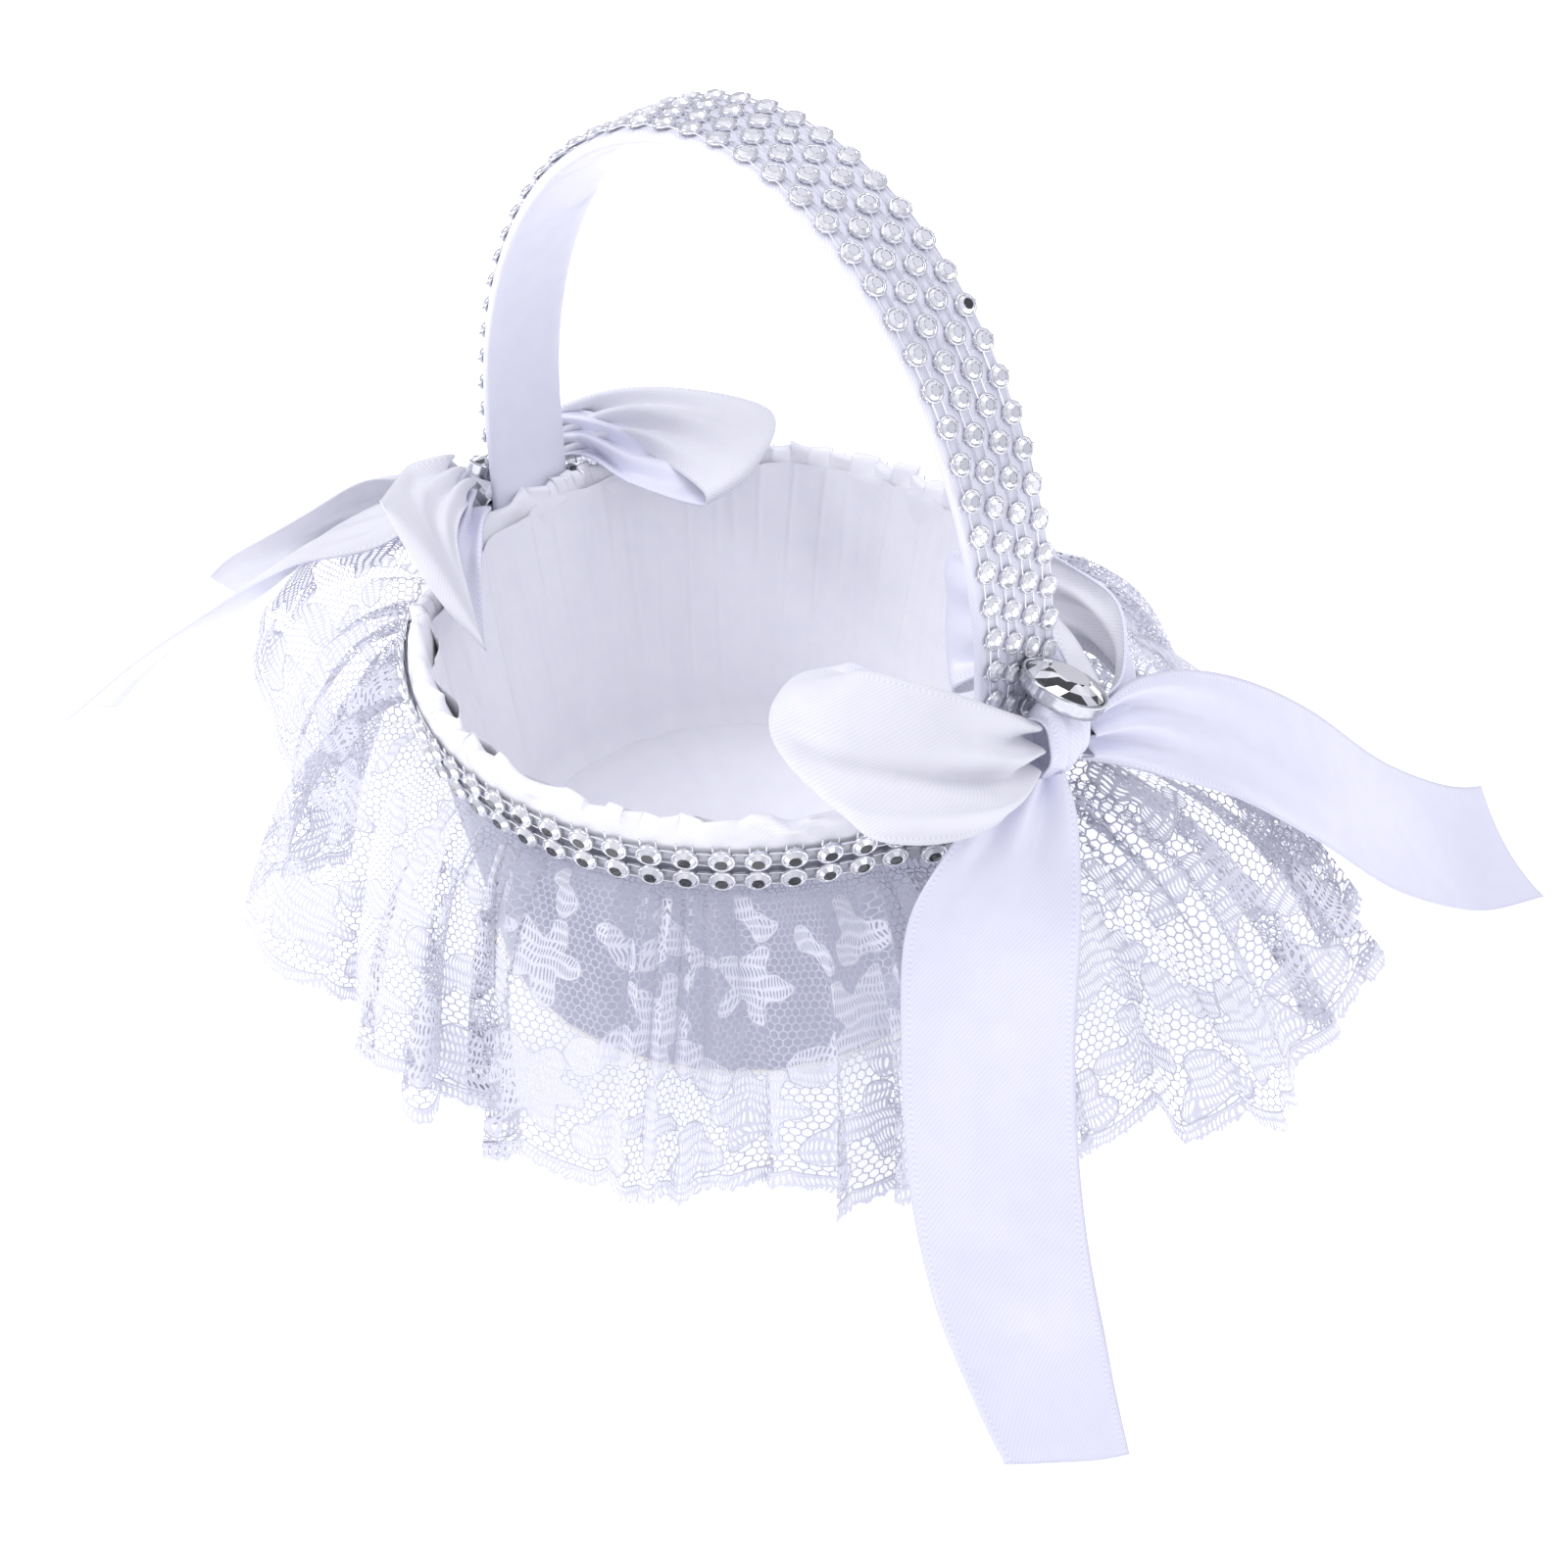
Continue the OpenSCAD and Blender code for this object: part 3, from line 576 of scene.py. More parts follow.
def lace():
    n, m = 1640, 60
    a = np.linspace(0, 2 * math.pi, n, endpoint=False)[:, None]
    v = np.linspace(0, 1, m)[None, :]
    soft = np.ones(25) / 25
    hem_r = np.convolve(np.tile(ring_lookup(a[:, 0], hem, 1), 3), soft, "same")[n:2 * n, None]
    hem_z = np.convolve(np.tile(ring_lookup(a[:, 0], hem, 2), 3), soft, "same")[n:2 * n, None]
    top_r = layer(a, band_bottom, lace_out)
    ctrl_r = (top_r + hem_r) / 2 + lace_arch / 3
    ctrl_z = band_bottom * 0.7 + hem_z * 0.3 + lace_arch
    # the hidden part behind the band, then the arch
    t = np.clip((v - 0.1) / 0.9, 0, 1)
    r = (1 - t) ** 2 * top_r + 2 * t * (1 - t) * ctrl_r + t * t * hem_r
    z = (1 - t) ** 2 * band_bottom + 2 * t * (1 - t) * ctrl_z + t * t * hem_z
    behind = np.clip(1 - v / 0.1, 0, 1)
    r = r + behind * (layer(a, shell_h - 0.5, lace_out) - top_r) - 0.35 * (behind > 0)
    z = z + behind * (shell_h - 0.5 - band_bottom)
    slope_r, slope_z = np.gradient(r, axis=1), np.gradient(z, axis=1)
    length = np.hypot(slope_r, slope_z)
    out_r, out_z = -slope_z / length, slope_r / length
    # broad flutes grow towards the hem, and the gathers under the band bunch here and lie flat there
    flute = 13 * a + 2.6 * math.pi * ripples(2, 7, 7, seed=41)(a, 0.25 * t)
    second = 23 * a + 2.0 * math.pi * ripples(3, 9, 7, seed=45)(a, 0.4 * t)
    fine = 52 * a + 2.5 * math.pi * ripples(5, 15, 9, seed=42)(a, 0.3 * t)
    bunch = 0.9 + 0.9 * ripples(6, 17, 9, seed=46)(a, 0.6 * t)
    rough = ripples(24, 60, 14, seed=43, drift=4)(a, 2 * v)
    size = 0.8 + 0.5 * ripples(3, 9, 6, seed=44)(a, 0 * v)
    grow = t ** 1.2
    lift = grow * size * (4.4 * np.cos(flute) + 2.1 * np.cos(second))
    lift = lift + 2.3 * (1 - 0.7 * t) * smooth(t * 9) * bunch * (0.55 + np.cos(fine)) + 0.5 * grow * rough
    # the right bow's front tail lies on the lace and presses its folds flat
    pressed = np.exp(-((np.degrees(a) - 345) / 9) ** 2)
    lift = lift * (1 - 0.75 * pressed) - 0.8 * pressed
    sway = -4.6 * grow * size * np.sin(2 * flute + 0.4)
    sway = sway - 1.0 * (1 - t) * smooth(t * 9) * bunch * np.sin(2 * fine)
    r = r + lift * out_r
    z = np.maximum(z + lift * out_z, 0.5 + 0.25 * np.cos(3 * flute))
    points = polar(r, a + sway / np.maximum(r, 40), z)
    # the strip's own length runs with the folds, so that the net keeps its size
    ring = np.linalg.norm(np.diff(np.concatenate([points, points[:1]]), axis=0), axis=2)
    ring = ring / ring.sum(axis=0)
    share = np.concatenate([[0], np.cumsum(ring[:, m // 3:].mean(axis=1))])
    # the scalloped edge
    scallops = 58
    lobe = np.abs(np.sin(math.pi * share[:-1, None] * scallops)) ** 0.7
    reach = 2.2 * (lobe - 0.5) * smooth((v - 0.75) / 0.25)
    points += polar(reach * slope_r / length, a + sway / np.maximum(r, 40), reach * slope_z / length)
    points[..., 2] = np.maximum(points[..., 2], 0.4)
    down = np.linalg.norm(np.diff(points, axis=1), axis=2).mean(axis=0)
    depth = np.concatenate([[0], np.cumsum(down)])[None, :]
    uv = np.zeros((n + 1, m, 2))
    uv[..., 0] = lace_strip * share[:, None]
    uv[..., 1] = depth[:, -1:] - depth
    return surface_mesh("lace_strip", points, round_closed=True, flip=True, uv=uv), float(depth[0, -1])


def floral_lace():
    """Cotton-blend floral lace: a net of six-sided meshes, with flowers and leaves worked solid in rows of
    tiny eyelets and outlined by a heavier thread. The net's holes are 1.4 mm and its thread 0.2 mm. The
    thread is white: it is greyed here so that it shows against a white table."""
    cell, thread, tile = 1.45, 0.11, lace_strip / 16
    # flowers and leaves in one repeat: across, up from the edge, radius, waist, petals, turn
    shapes = [(0.0, 31.0, 9.8, 0.74, 5, 0.3), (0.5, 15.0, 8.6, 0.8, 6, 0.0), (0.25, 23.0, 7.4, 0.6, 2, 1.2),
              (0.75, 24.5, 7.4, 0.6, 2, -1.0), (0.48, 37.0, 7.8, 0.74, 5, 0.4), (0.24, 8.5, 6.2, 0.8, 3, 0.9),
              (0.78, 9.0, 6.2, 0.8, 3, 2.2), (0.02, 46.0, 7.4, 0.72, 3, 0.5), (0.0, 14.0, 7.2, 0.7, 4, 0.1),
              (0.5, 50.0, 5.4, 0.62, 2, 2.0), (0.22, 41.0, 4.6, 0.64, 3, 0.2), (0.77, 43.0, 5.0, 0.62, 2, 1.4)]
    material, tree = empty_material("white floral lace on hexagon net")
    place = add(tree, "ShaderNodeUVMap", uv_map="cloth")
    place = add(tree, "ShaderNodeVectorMath", {0: place, "Scale": 100.0}, operation="SCALE")
    wobble = add(tree, "ShaderNodeTexNoise", {"Vector": place, "Scale": 0.16, "Detail": 1.0},
                 out="Color")
    wobble = add(tree, "ShaderNodeVectorMath", [wobble, (0.5, 0.5, 0.5)], operation="SUBTRACT")
    bent = add(tree, "ShaderNodeVectorMath", {0: wobble, 1: (4.0, 4.0, 0), 2: place},
               operation="MULTIPLY_ADD")

    # net: distance to the nearest side of a hexagon
    half = (0.5 * cell, 0.5 * cell * math.sqrt(3), 1.0)
    back = (-half[0], -half[1], -1.0)
    net = add(tree, "ShaderNodeVectorMath", {0: wobble, 1: (1.2, 1.2, 0), 2: place},
              operation="MULTIPLY_ADD")
    moved = add(tree, "ShaderNodeVectorMath", [net, half], operation="ADD")
    flat = (1.0, 1.0, 0.0)
    cells, reaches = [], []
    for centred in (net, moved):
        local = add(tree, "ShaderNodeVectorMath", {0: centred, 1: half, 2: back}, operation="WRAP")
        cells.append(add(tree, "ShaderNodeVectorMath", [local, flat], operation="MULTIPLY"))
        reaches.append(add(tree, "ShaderNodeVectorMath", [cells[-1]], out=1, operation="LENGTH"))
    which = add(tree, "ShaderNodeMath", reaches, operation="LESS_THAN")
    inside = add(tree, "ShaderNodeMix", {"Factor": which, 4: cells[1], 5: cells[0]},
                 out=1, data_type="VECTOR")
    inside = add(tree, "ShaderNodeVectorMath", [inside], operation="ABSOLUTE")
    slant = add(tree, "ShaderNodeVectorMath", [inside, (0.5, math.sqrt(3) / 2, 0)],
                out=1, operation="DOT_PRODUCT")
    straight = add(tree, "ShaderNodeVectorMath", [inside, (1, 0, 0)], out=1, operation="DOT_PRODUCT")
    side = add(tree, "ShaderNodeMath", [slant, straight], operation="MAXIMUM")
    strand = add(tree, "ShaderNodeMath", [side, cell / 2 - thread], operation="GREATER_THAN")

    # motifs: the smallest distance outside any flower or leaf
    distance = None
    for across, up, radius, waist, petals, turn in shapes:
        local = add(tree, "ShaderNodeVectorMath", [bent, (-across * tile, -up, 0)], operation="ADD")
        local = add(tree, "ShaderNodeVectorMath",
                    {0: local, 1: (tile / 2, 500.0, 1.0), 2: (-tile / 2, -500.0, -1.0)}, operation="WRAP")
        local = add(tree, "ShaderNodeVectorMath", [local, flat], operation="MULTIPLY")
        reach = add(tree, "ShaderNodeVectorMath", [local], out=1, operation="LENGTH")
        xyz = add(tree, "ShaderNodeSeparateXYZ", [local]).node.outputs
        angle = add(tree, "ShaderNodeMath", [xyz[1], xyz[0]], operation="ARCTAN2")
        angle = add(tree, "ShaderNodeMath", [angle, float(petals), turn], operation="MULTIPLY_ADD")
        lobes = add(tree, "ShaderNodeMath", [angle], operation="COSINE")
        edge = add(tree, "ShaderNodeMath", [lobes, radius * (1 - waist), radius * waist],
                   operation="MULTIPLY_ADD")
        gap = add(tree, "ShaderNodeMath", [reach, edge], operation="SUBTRACT")
        if distance is None:
            distance = gap
        else:
            distance = add(tree, "ShaderNodeMath", [distance, gap], operation="MINIMUM")
    place_xyz = add(tree, "ShaderNodeSeparateXYZ", [place]).node.outputs
    border = add(tree, "ShaderNodeMath", [place_xyz[1], 3.4], operation="SUBTRACT")
    distance = add(tree, "ShaderNodeMath", [distance, border], operation="MINIMUM")
    worked = add(tree, "ShaderNodeMath", [distance, 0.0], operation="LESS_THAN")
    rim = add(tree, "ShaderNodeMath", [distance], operation="ABSOLUTE")
    outline = add(tree, "ShaderNodeMath", [rim, 0.22], operation="LESS_THAN")

    # eyelets: rows of tiny holes in the worked areas
    rows = add(tree, "ShaderNodeVectorMath", {0: bent, 1: (0.3, 0.9, 1.0), 2: (-0.3, -0.9, -1.0)},
               operation="WRAP")
    rows = add(tree, "ShaderNodeVectorMath", [rows, (1.0, 0.22, 0.0)], operation="MULTIPLY")
    hole = add(tree, "ShaderNodeVectorMath", [rows], out=1, operation="LENGTH")
    hole = add(tree, "ShaderNodeMath", [hole, 0.15], operation="LESS_THAN")
    solid = add(tree, "ShaderNodeMath", [worked, hole], operation="SUBTRACT")
    cover = add(tree, "ShaderNodeMix", {"Factor": worked, 2: strand, 3: solid}, out=0, data_type="FLOAT")
    cover = add(tree, "ShaderNodeMath", [cover, outline], operation="MAXIMUM")

    # picots: a thread looped past the solid edge
    loops = add(tree, "ShaderNodeMath", [place_xyz[0], 2 * math.pi / 2.1], operation="MULTIPLY")
    loops = add(tree, "ShaderNodeMath", [loops], operation="SINE")
    picot = add(tree, "ShaderNodeMath", [loops, 0.35, 0.62], operation="MULTIPLY_ADD")
    past = add(tree, "ShaderNodeMath", [place_xyz[1], picot], operation="GREATER_THAN")
    alpha = add(tree, "ShaderNodeMath", [cover, past], operation="MULTIPLY")

    yarn = add(tree, "ShaderNodeTexNoise", {"Vector": place, "Scale": 2.4, "Detail": 2.0})
    tones = [add(tree, "ShaderNodeMix", {"Factor": yarn, 6: linear(dark), 7: linear(light)},
                 out=2, data_type="RGBA") for dark, light in (("#B9BAC8", "#D9D9E4"), ("#D0D1DE", "#F2F2F9"))]
    colour = add(tree, "ShaderNodeMix", {"Factor": worked, 6: tones[0], 7: tones[1]},
                 out=2, data_type="RGBA")
    raised = add(tree, "ShaderNodeMath", [outline, yarn], operation="ADD")
    bump = add(tree, "ShaderNodeBump", {"Height": raised, "Strength": 0.5, "Distance": 0.0002})
    surface = add(tree, "ShaderNodeBsdfPrincipled",
                  {"Base Color": colour, "Roughness": 0.65, "Sheen Weight": 0.2, "Alpha": alpha,
                   "Normal": bump})
    add(tree, "ShaderNodeOutputMaterial", {"Surface": surface})
    return material


lace_piece, lace_depth = lace()
cover_with(lace_piece, floral_lace(), "lace", "lace_flounce")

# ---------------------------------------------------------------------------
# Rhinestone band round the rim
# The same net in two rows with the cups in line, glued over the top edges of the lace and of the
# frill. The cut posts of the next row stand up along its top edge.
# ---------------------------------------------------------------------------
band_h, band_count = 9.3, 64
mesh_out = 1.95


def band_points(z):
    a = (np.arange(band_count) + 0.5) * 2 * math.pi / band_count
    place = polar(layer(a, np.full(band_count, z), mesh_out - 0.3), a, np.full(band_count, z))
    ahead = np.roll(place, -1, axis=0) - np.roll(place, 1, axis=0)
    ahead /= np.linalg.norm(ahead, axis=1)[:, None]
    up = np.tile([0.0, 0.0, 1.0], (band_count, 1)) + polar(np.full(band_count, taper), a, 0 * a)
    facing = np.cross(ahead, up)
    return list(place), facing / np.linalg.norm(facing, axis=1)[:, None], ahead


def band_web(name, height):
    """The thin moulded web between the cups of one row"""
    a = np.linspace(0, 2 * math.pi, 384, endpoint=False)[:, None]
    z = height + np.linspace(-1.25, 1.25, 5)[None, :]
    radius = layer(a, z, mesh_out - 0.38) + 0.06 * np.cos(band_count * a)
    return surface_mesh(name, polar(radius, a, z), round_closed=True)


web_plastic = plain("vacuum-metallised web, dull side", "#A9AAB0", 0.4, metal=0.6, second="#C6C7CD")
for row, height in (("upper", shell_h + 0.7 - band_h * 0.27), ("lower", shell_h + 0.7 - band_h * 0.73)):
    band_sizes = {"Stone radius": 1.6, "Bar length": 2.2, "Bar gap": 1.2, "Bar radius": 0.15,
                  "Cross length": 4.2, "Post height": 1.3 if row == "upper" else 0.001}
    where = band_points(height)
    net = rhinestones("band_net_" + row, *where, band_sizes, silver_plastic, dark_reflection_stone, "Metal")
    cover_with(net, silver_plastic, "silver_mesh", "band_mesh")
    cover_with(band_web("band_web_" + row, height), web_plastic, "silver_mesh", "band_mesh")
    stones = rhinestones("band_rhinestones_" + row, *where, band_sizes, silver_plastic, dark_reflection_stone,
                         "Stone")
    cover_with(stones, dark_reflection_stone, "stone", "band_stones_" + row)

# ---------------------------------------------------------------------------
# Ribbon bows, one at each foot of the handle
# White satin ribbon 25 mm wide with a woven selvage, tied in two loops and two tails. A short
# length wraps the middle, where every loop and tail is gathered to about a third of its width.
# ---------------------------------------------------------------------------
ribbon_w = 25.0
right_knot, left_knot = (60.6, 3.5, 68.0), (-60.6, 3.0, 51.0)
# each station: centre, direction across, width as a share of the ribbon's
ribbons = {
    "right_bow_loop_front": [
        ((60.5, -2, 69), (-0.2, 0.2, 0.9), 0.35), ((62.5, -11, 71.8), (-0.4, 0.4, 0.8), 0.62),
        ((60, -23, 77.8), (-0.4, 0.4, 0.8), 0.86), ((51.5, -32.5, 81.2), (-0.4, 0.4, 0.8), 0.98),
        ((42.5, -34.5, 81.5), (-0.4, 0.4, 0.8), 0.88), ((39.5, -30, 80.3), (-0.4, 0.4, 0.8), 0.76),
        ((45, -24.5, 77), (-0.4, 0.4, 0.8), 0.78), ((53, -17, 73.8), (-0.3, 0.3, 0.9), 0.58),
        ((59.5, -6.5, 69.5), (-0.2, 0.2, 0.9), 0.35)],
    "right_bow_loop_back": [
        ((61, 9, 66), (-0.2, 0, 0.95), 0.35), ((63, 17, 64.5), (-0.3, 0, 0.9), 0.56),
        ((57.5, 26, 66.5), (-0.35, 0, 0.9), 0.64), ((47, 29, 69.5), (-0.2, 0.1, 0.9), 0.5),
        ((37, 25, 70), (-0.3, 0.3, 0.85), 0.8), ((29.5, 17, 68), (-0.45, 0.45, 0.75), 0.96),
        ((31, 14, 69.5), (-0.45, 0.45, 0.75), 0.9), ((41, 15, 72.5), (-0.3, 0.3, 0.9), 0.6),
        ((51, 15, 72), (-0.2, 0.1, 0.95), 0.4), ((60.5, 12.5, 68.5), (-0.2, 0, 0.95), 0.35)],
    "right_bow_tail_front": [
        ((61.5, -2, 63.5), (0.5, 0.8, 0.1), 0.36), ((63.2, -7, 58.5), (0.6, 0.75, 0.1), 0.7),
        ((66.5, -15, 47), (0.72, 0.69, 0), 1), ((74, -24, 33), (0.72, 0.69, 0), 1),
        ((83, -32, 19), (0.7, 0.7, -0.05), 1), ((93, -39, 9), (0.6, 0.75, -0.2), 1),
        ((104, -46, 6.4), (0.35, 0.86, -0.38), 1), ((117.5, -54.6, 6.2), (0.05, 0.88, -0.45), 1)],
    "right_bow_tail_back": [
        ((63, 9, 66), (-0.2, 0.1, 0.9), 0.36), ((66, 19, 64), (-0.35, 0.35, 0.8), 0.56),
        ((71, 34, 56), (-0.55, 0.6, 0.5), 0.8), ((78, 52, 41), (-0.62, 0.68, 0.35), 0.96),
        ((85, 70, 23), (-0.62, 0.68, 0.33), 1), ((91, 88, 10), (-0.64, 0.69, 0.3), 1),
        ((95, 104, 4.8), (-0.7, 0.66, 0.25), 1)],
    "left_bow_loop_front": [
        ((-60.5, -3, 54), (-0.3, -0.1, 0.85), 0.36), ((-59, -9.5, 63.5), (-0.7, 0.1, 0.5), 0.36),
        ((-52.4, -13, 68.9), (-0.9, 0.3, 0.1), 0.42), ((-50, -20.8, 68.6), (-0.95, 0.22, 0.1), 0.76),
        ((-36.7, -31.5, 67.6), (-0.9, 0.1, 0.42), 1.2), ((-39.1, -29.3, 65.8), (-0.89, 0.08, 0.44), 1.15),
        ((-47, -17.6, 66), (-0.92, 0.22, 0.25), 0.62), ((-53, -10.6, 65.5), (-0.8, 0.2, 0.5), 0.4),
        ((-61.8, -5.5, 57), (-0.3, -0.1, 0.85), 0.36)],
    "left_bow_loop_back": [
        ((-60.5, 9, 54), (-0.2, 0.1, 0.9), 0.36), ((-60.5, 14, 61.5), (-0.4, 0.2, 0.8), 0.36),
        ((-53, 15.5, 65), (-0.65, 0.4, 0.5), 0.38), ((-41, 17.2, 65.4), (-0.6, 0.7, 0.35), 0.6),
        ((-26.8, 28.9, 65), (-0.28, 0.93, 0.22), 1), ((-27, 30, 66.6), (-0.3, 0.92, 0.2), 1),
        ((-39.3, 25, 68.2), (-0.5, 0.75, 0.3), 0.64), ((-50.5, 20.2, 67), (-0.6, 0.45, 0.5), 0.4),
        ((-62.5, 13, 60), (-0.2, 0.1, 0.9), 0.36)],
    "left_bow_tail_front": [
        ((-64, -2, 48), (-0.2, 0.3, -0.9), 0.36), ((-69.5, -5, 51), (-0.45, 0.6, -0.6), 0.5),
        ((-74, -12, 50), (-0.5, 0.84, -0.08), 0.72), ((-82, -21.5, 46.5), (-0.5, 0.8, -0.26), 0.92),
        ((-87, -28.2, 41.5), (-0.58, 0.65, -0.48), 0.97), ((-95.8, -36.2, 32), (-0.6, 0.58, -0.55), 1),
        ((-107.2, -48.3, 20.5), (-0.6, 0.57, -0.56), 1), ((-113.9, -60, 9.8), (-0.56, 0.5, -0.66), 1)],
    "left_bow_tail_back": [
        ((-65, 6, 49), (0.2, -0.15, 0.9), 0.36), ((-73, 4.5, 51.5), (0.35, -0.35, 0.85), 0.42),
        ((-83.8, -1.5, 49), (0.42, -0.5, 0.76), 0.56), ((-90, -4.5, 45), (0.38, -0.56, 0.73), 0.74),
        ((-97.5, -9.5, 38), (0.36, -0.58, 0.72), 0.84), ((-108, -14.5, 28.5), (0.36, -0.58, 0.71), 0.92),
        ((-117.5, -17, 20.5), (0.38, -0.6, 0.69), 0.96), ((-124, -18.5, 14.5), (0.38, -0.62, 0.67), 0.96)],
}


def unit(v):
    return v / np.linalg.norm(v, axis=-1, keepdims=True)


def spline(values, at):
    """Catmull-Rom through the stations, at running numbers from 0"""
    p = np.concatenate([[2 * values[0] - values[1]], values, [2 * values[-1] - values[-2]]])
    i = np.clip(at.astype(int), 0, len(values) - 2)
    u = (at - i)[..., None]
    a, b, c, d = p[i], p[i + 1], p[i + 2], p[i + 3]
    squared, cubed = 2 * a - 5 * b + 4 * c - d, 3 * b - a - 3 * c + d
    return 0.5 * (2 * b + (c - a) * u + squared * u ** 2 + cubed * u ** 3)


def ribbon(name, stations, seed, slant=0.0, cup=0.0, creases=(), rounding=0.0):
    """One length of ribbon: gathered lengthwise where its width is less than the full one"""
    centres = np.array([s[0] for s in stations], float)
    across = unit(np.array([s[1] for s in stations], float))
    widths = np.array([[s[2]] for s in stations], float)
    n, m = 30 * (len(stations) - 1), 30
    t = np.linspace(-0.5, 0.5, m)[None, :]
    last = len(stations) - 1
    at = np.linspace(0, last, n)[:, None] * (1 - abs(slant) * (0.5 + math.copysign(1, slant) * t) / last)
    middle, width = spline(centres, at), spline(widths, at)
    side = unit(spline(across, at))
    along = unit(spline(centres, np.clip(at + 0.02, 0, last)) - spline(centres, np.clip(at - 0.02, 0, last)))
    face = unit(np.cross(side, along))
    slack = np.clip(1 - width[..., 0], 0, 1)
    draw = np.random.default_rng(seed)
    shift, lean = draw.uniform(0, 6), draw.uniform(-1.5, 1.5)
    fold = 2.9 * slack ** 1.1 * np.sin(2 * math.pi * 2.6 * t + shift + lean * at)
    fold = fold + 0.35 * np.sin(2.1 * at + 5 * t + shift) + cup * (0.25 - t ** 2) * 4 * width[..., 0]
    for start, stop, where_across, deep, spread in creases:
        along_crease = smooth((at - start) / 0.8) * smooth((stop - at) / 0.8)
        fold = fold + deep * along_crease * np.exp(-((t - where_across) / spread) ** 2)
    points = middle + side * (t * width[..., 0] * ribbon_w)[..., None] + face * fold[..., None]
    turn_back = rounding * (2 * np.abs(t)) ** 2.6 * np.exp(-((at - last / 2 - 0.4) / 1.3) ** 2)
    points = points - (points - centres[0]) * turn_back[..., None]
    run = np.concatenate([[0], np.cumsum(np.linalg.norm(np.diff(points[:, m // 2], axis=0), axis=1))])
    uv = np.stack(np.meshgrid(run, (t[0] + 0.5) * ribbon_w, indexing="ij"), axis=-1)
    piece = surface_mesh(name + "_ribbon", points, uv=uv)
    solid = piece.modifiers.new("ribbon thickness", "SOLIDIFY")
    solid.thickness, solid.offset, solid.material_offset = 0.0003, 0.0, 1
    return piece, run[-1]


# a little darker than white satin, so that it shows against a white table
ribbon_satin = satin("white satin ribbon with woven selvage", "#EFEFFA", "#DDDDF0", weave_mm=0.5,
                     selvage_mm=ribbon_w)
ribbon_back = satin("matt back of the ribbon", "#EDEDF2", "#DCDCE4", weave_mm=0.5, gloss=0.6,
                    selvage_mm=ribbon_w)
bow_rounding = {"right_bow_loop_front": 0.36, "left_bow_loop_back": 0.08, "right_bow_loop_back": 0.15}
bow_creases = {"right_bow_loop_front": [(0.5, 4.2, -0.06, -2.4, 0.09), (0.5, 3.6, -0.3, 1.2, 0.08)]}
# slant of the cut end, and how far the ribbon cups across
shapes_of = {"right_bow_tail_front": (-0.35, 0.6), "right_bow_tail_back": (0.6, 1.2),
             "left_bow_tail_front": (0.3, 1.0), "left_bow_tail_back": (0.2, 1.4)}
for number, (name, stations) in enumerate(ribbons.items()):
    slant, cup = shapes_of.get(name, (0.0, 0.8))
    piece, length = ribbon(name, stations, 60 + number, slant, cup, bow_creases.get(name, ()),
                           bow_rounding.get(name, 0.0))
    cover_with(piece, ribbon_satin, "ribbon", name)
    piece.data.materials.append(ribbon_back)
    held = "folded" if "loop" in name else "draped"


def knot(name, centre):
    """The short wrap round the middle of a bow, pleated lengthwise and pulled tight"""
    q = np.linspace(0, 2 * math.pi, 96, endpoint=False)[:, None]
    t = np.linspace(-0.5, 0.5, 34)[None, :]
    barrel = 1 - 0.85 * np.abs(t) ** 2.4 * 1.6
    pleat = 0.32 * np.sin(2 * math.pi * 3.2 * t + 0.5 * np.sin(2 * q)) + 0.12 * np.sin(5 * q + 9 * t)
    x = (4.1 * barrel + pleat) * np.cos(q)
    z = (6.5 * barrel + pleat) * np.sin(q)
    y = 9.0 * t + 0.5 * np.sin(q) + 0 * q
    points = np.stack([centre[0] + x, centre[1] + y, centre[2] + z], axis=-1)
    piece = surface_mesh(name + "_wrap", points, round_closed=True, flip=True)
    solid = piece.modifiers.new("ribbon thickness", "SOLIDIFY")
    solid.thickness, solid.offset = 0.0004, -1.0
    return piece


for side, centre in (("right", right_knot), ("left", left_knot)):
    piece = cover_with(knot(side + "_bow_knot", centre), ribbon_satin, "ribbon", side + "_bow_knot")

# ---------------------------------------------------------------------------
# Crystal brooches
# A round faceted crystal in a plated metal cup, glued on top of each knot.
# ---------------------------------------------------------------------------
crystal_d = 12.0


def turned(centre, points):
    """Puts points from the brooch's own frame on top of the knot"""
    ax, ay = math.radians(-24), math.radians(9 * math.copysign(1, centre[0]))
    about_x = np.array([[1, 0, 0], [0, math.cos(ax), -math.sin(ax)], [0, math.sin(ax), math.cos(ax)]])
    about_y = np.array([[math.cos(ay), 0, math.sin(ay)], [0, 1, 0], [-math.sin(ay), 0, math.cos(ay)]])
    return points @ (about_y @ about_x).T + np.array(centre) + np.array([0, 0, 6.9])


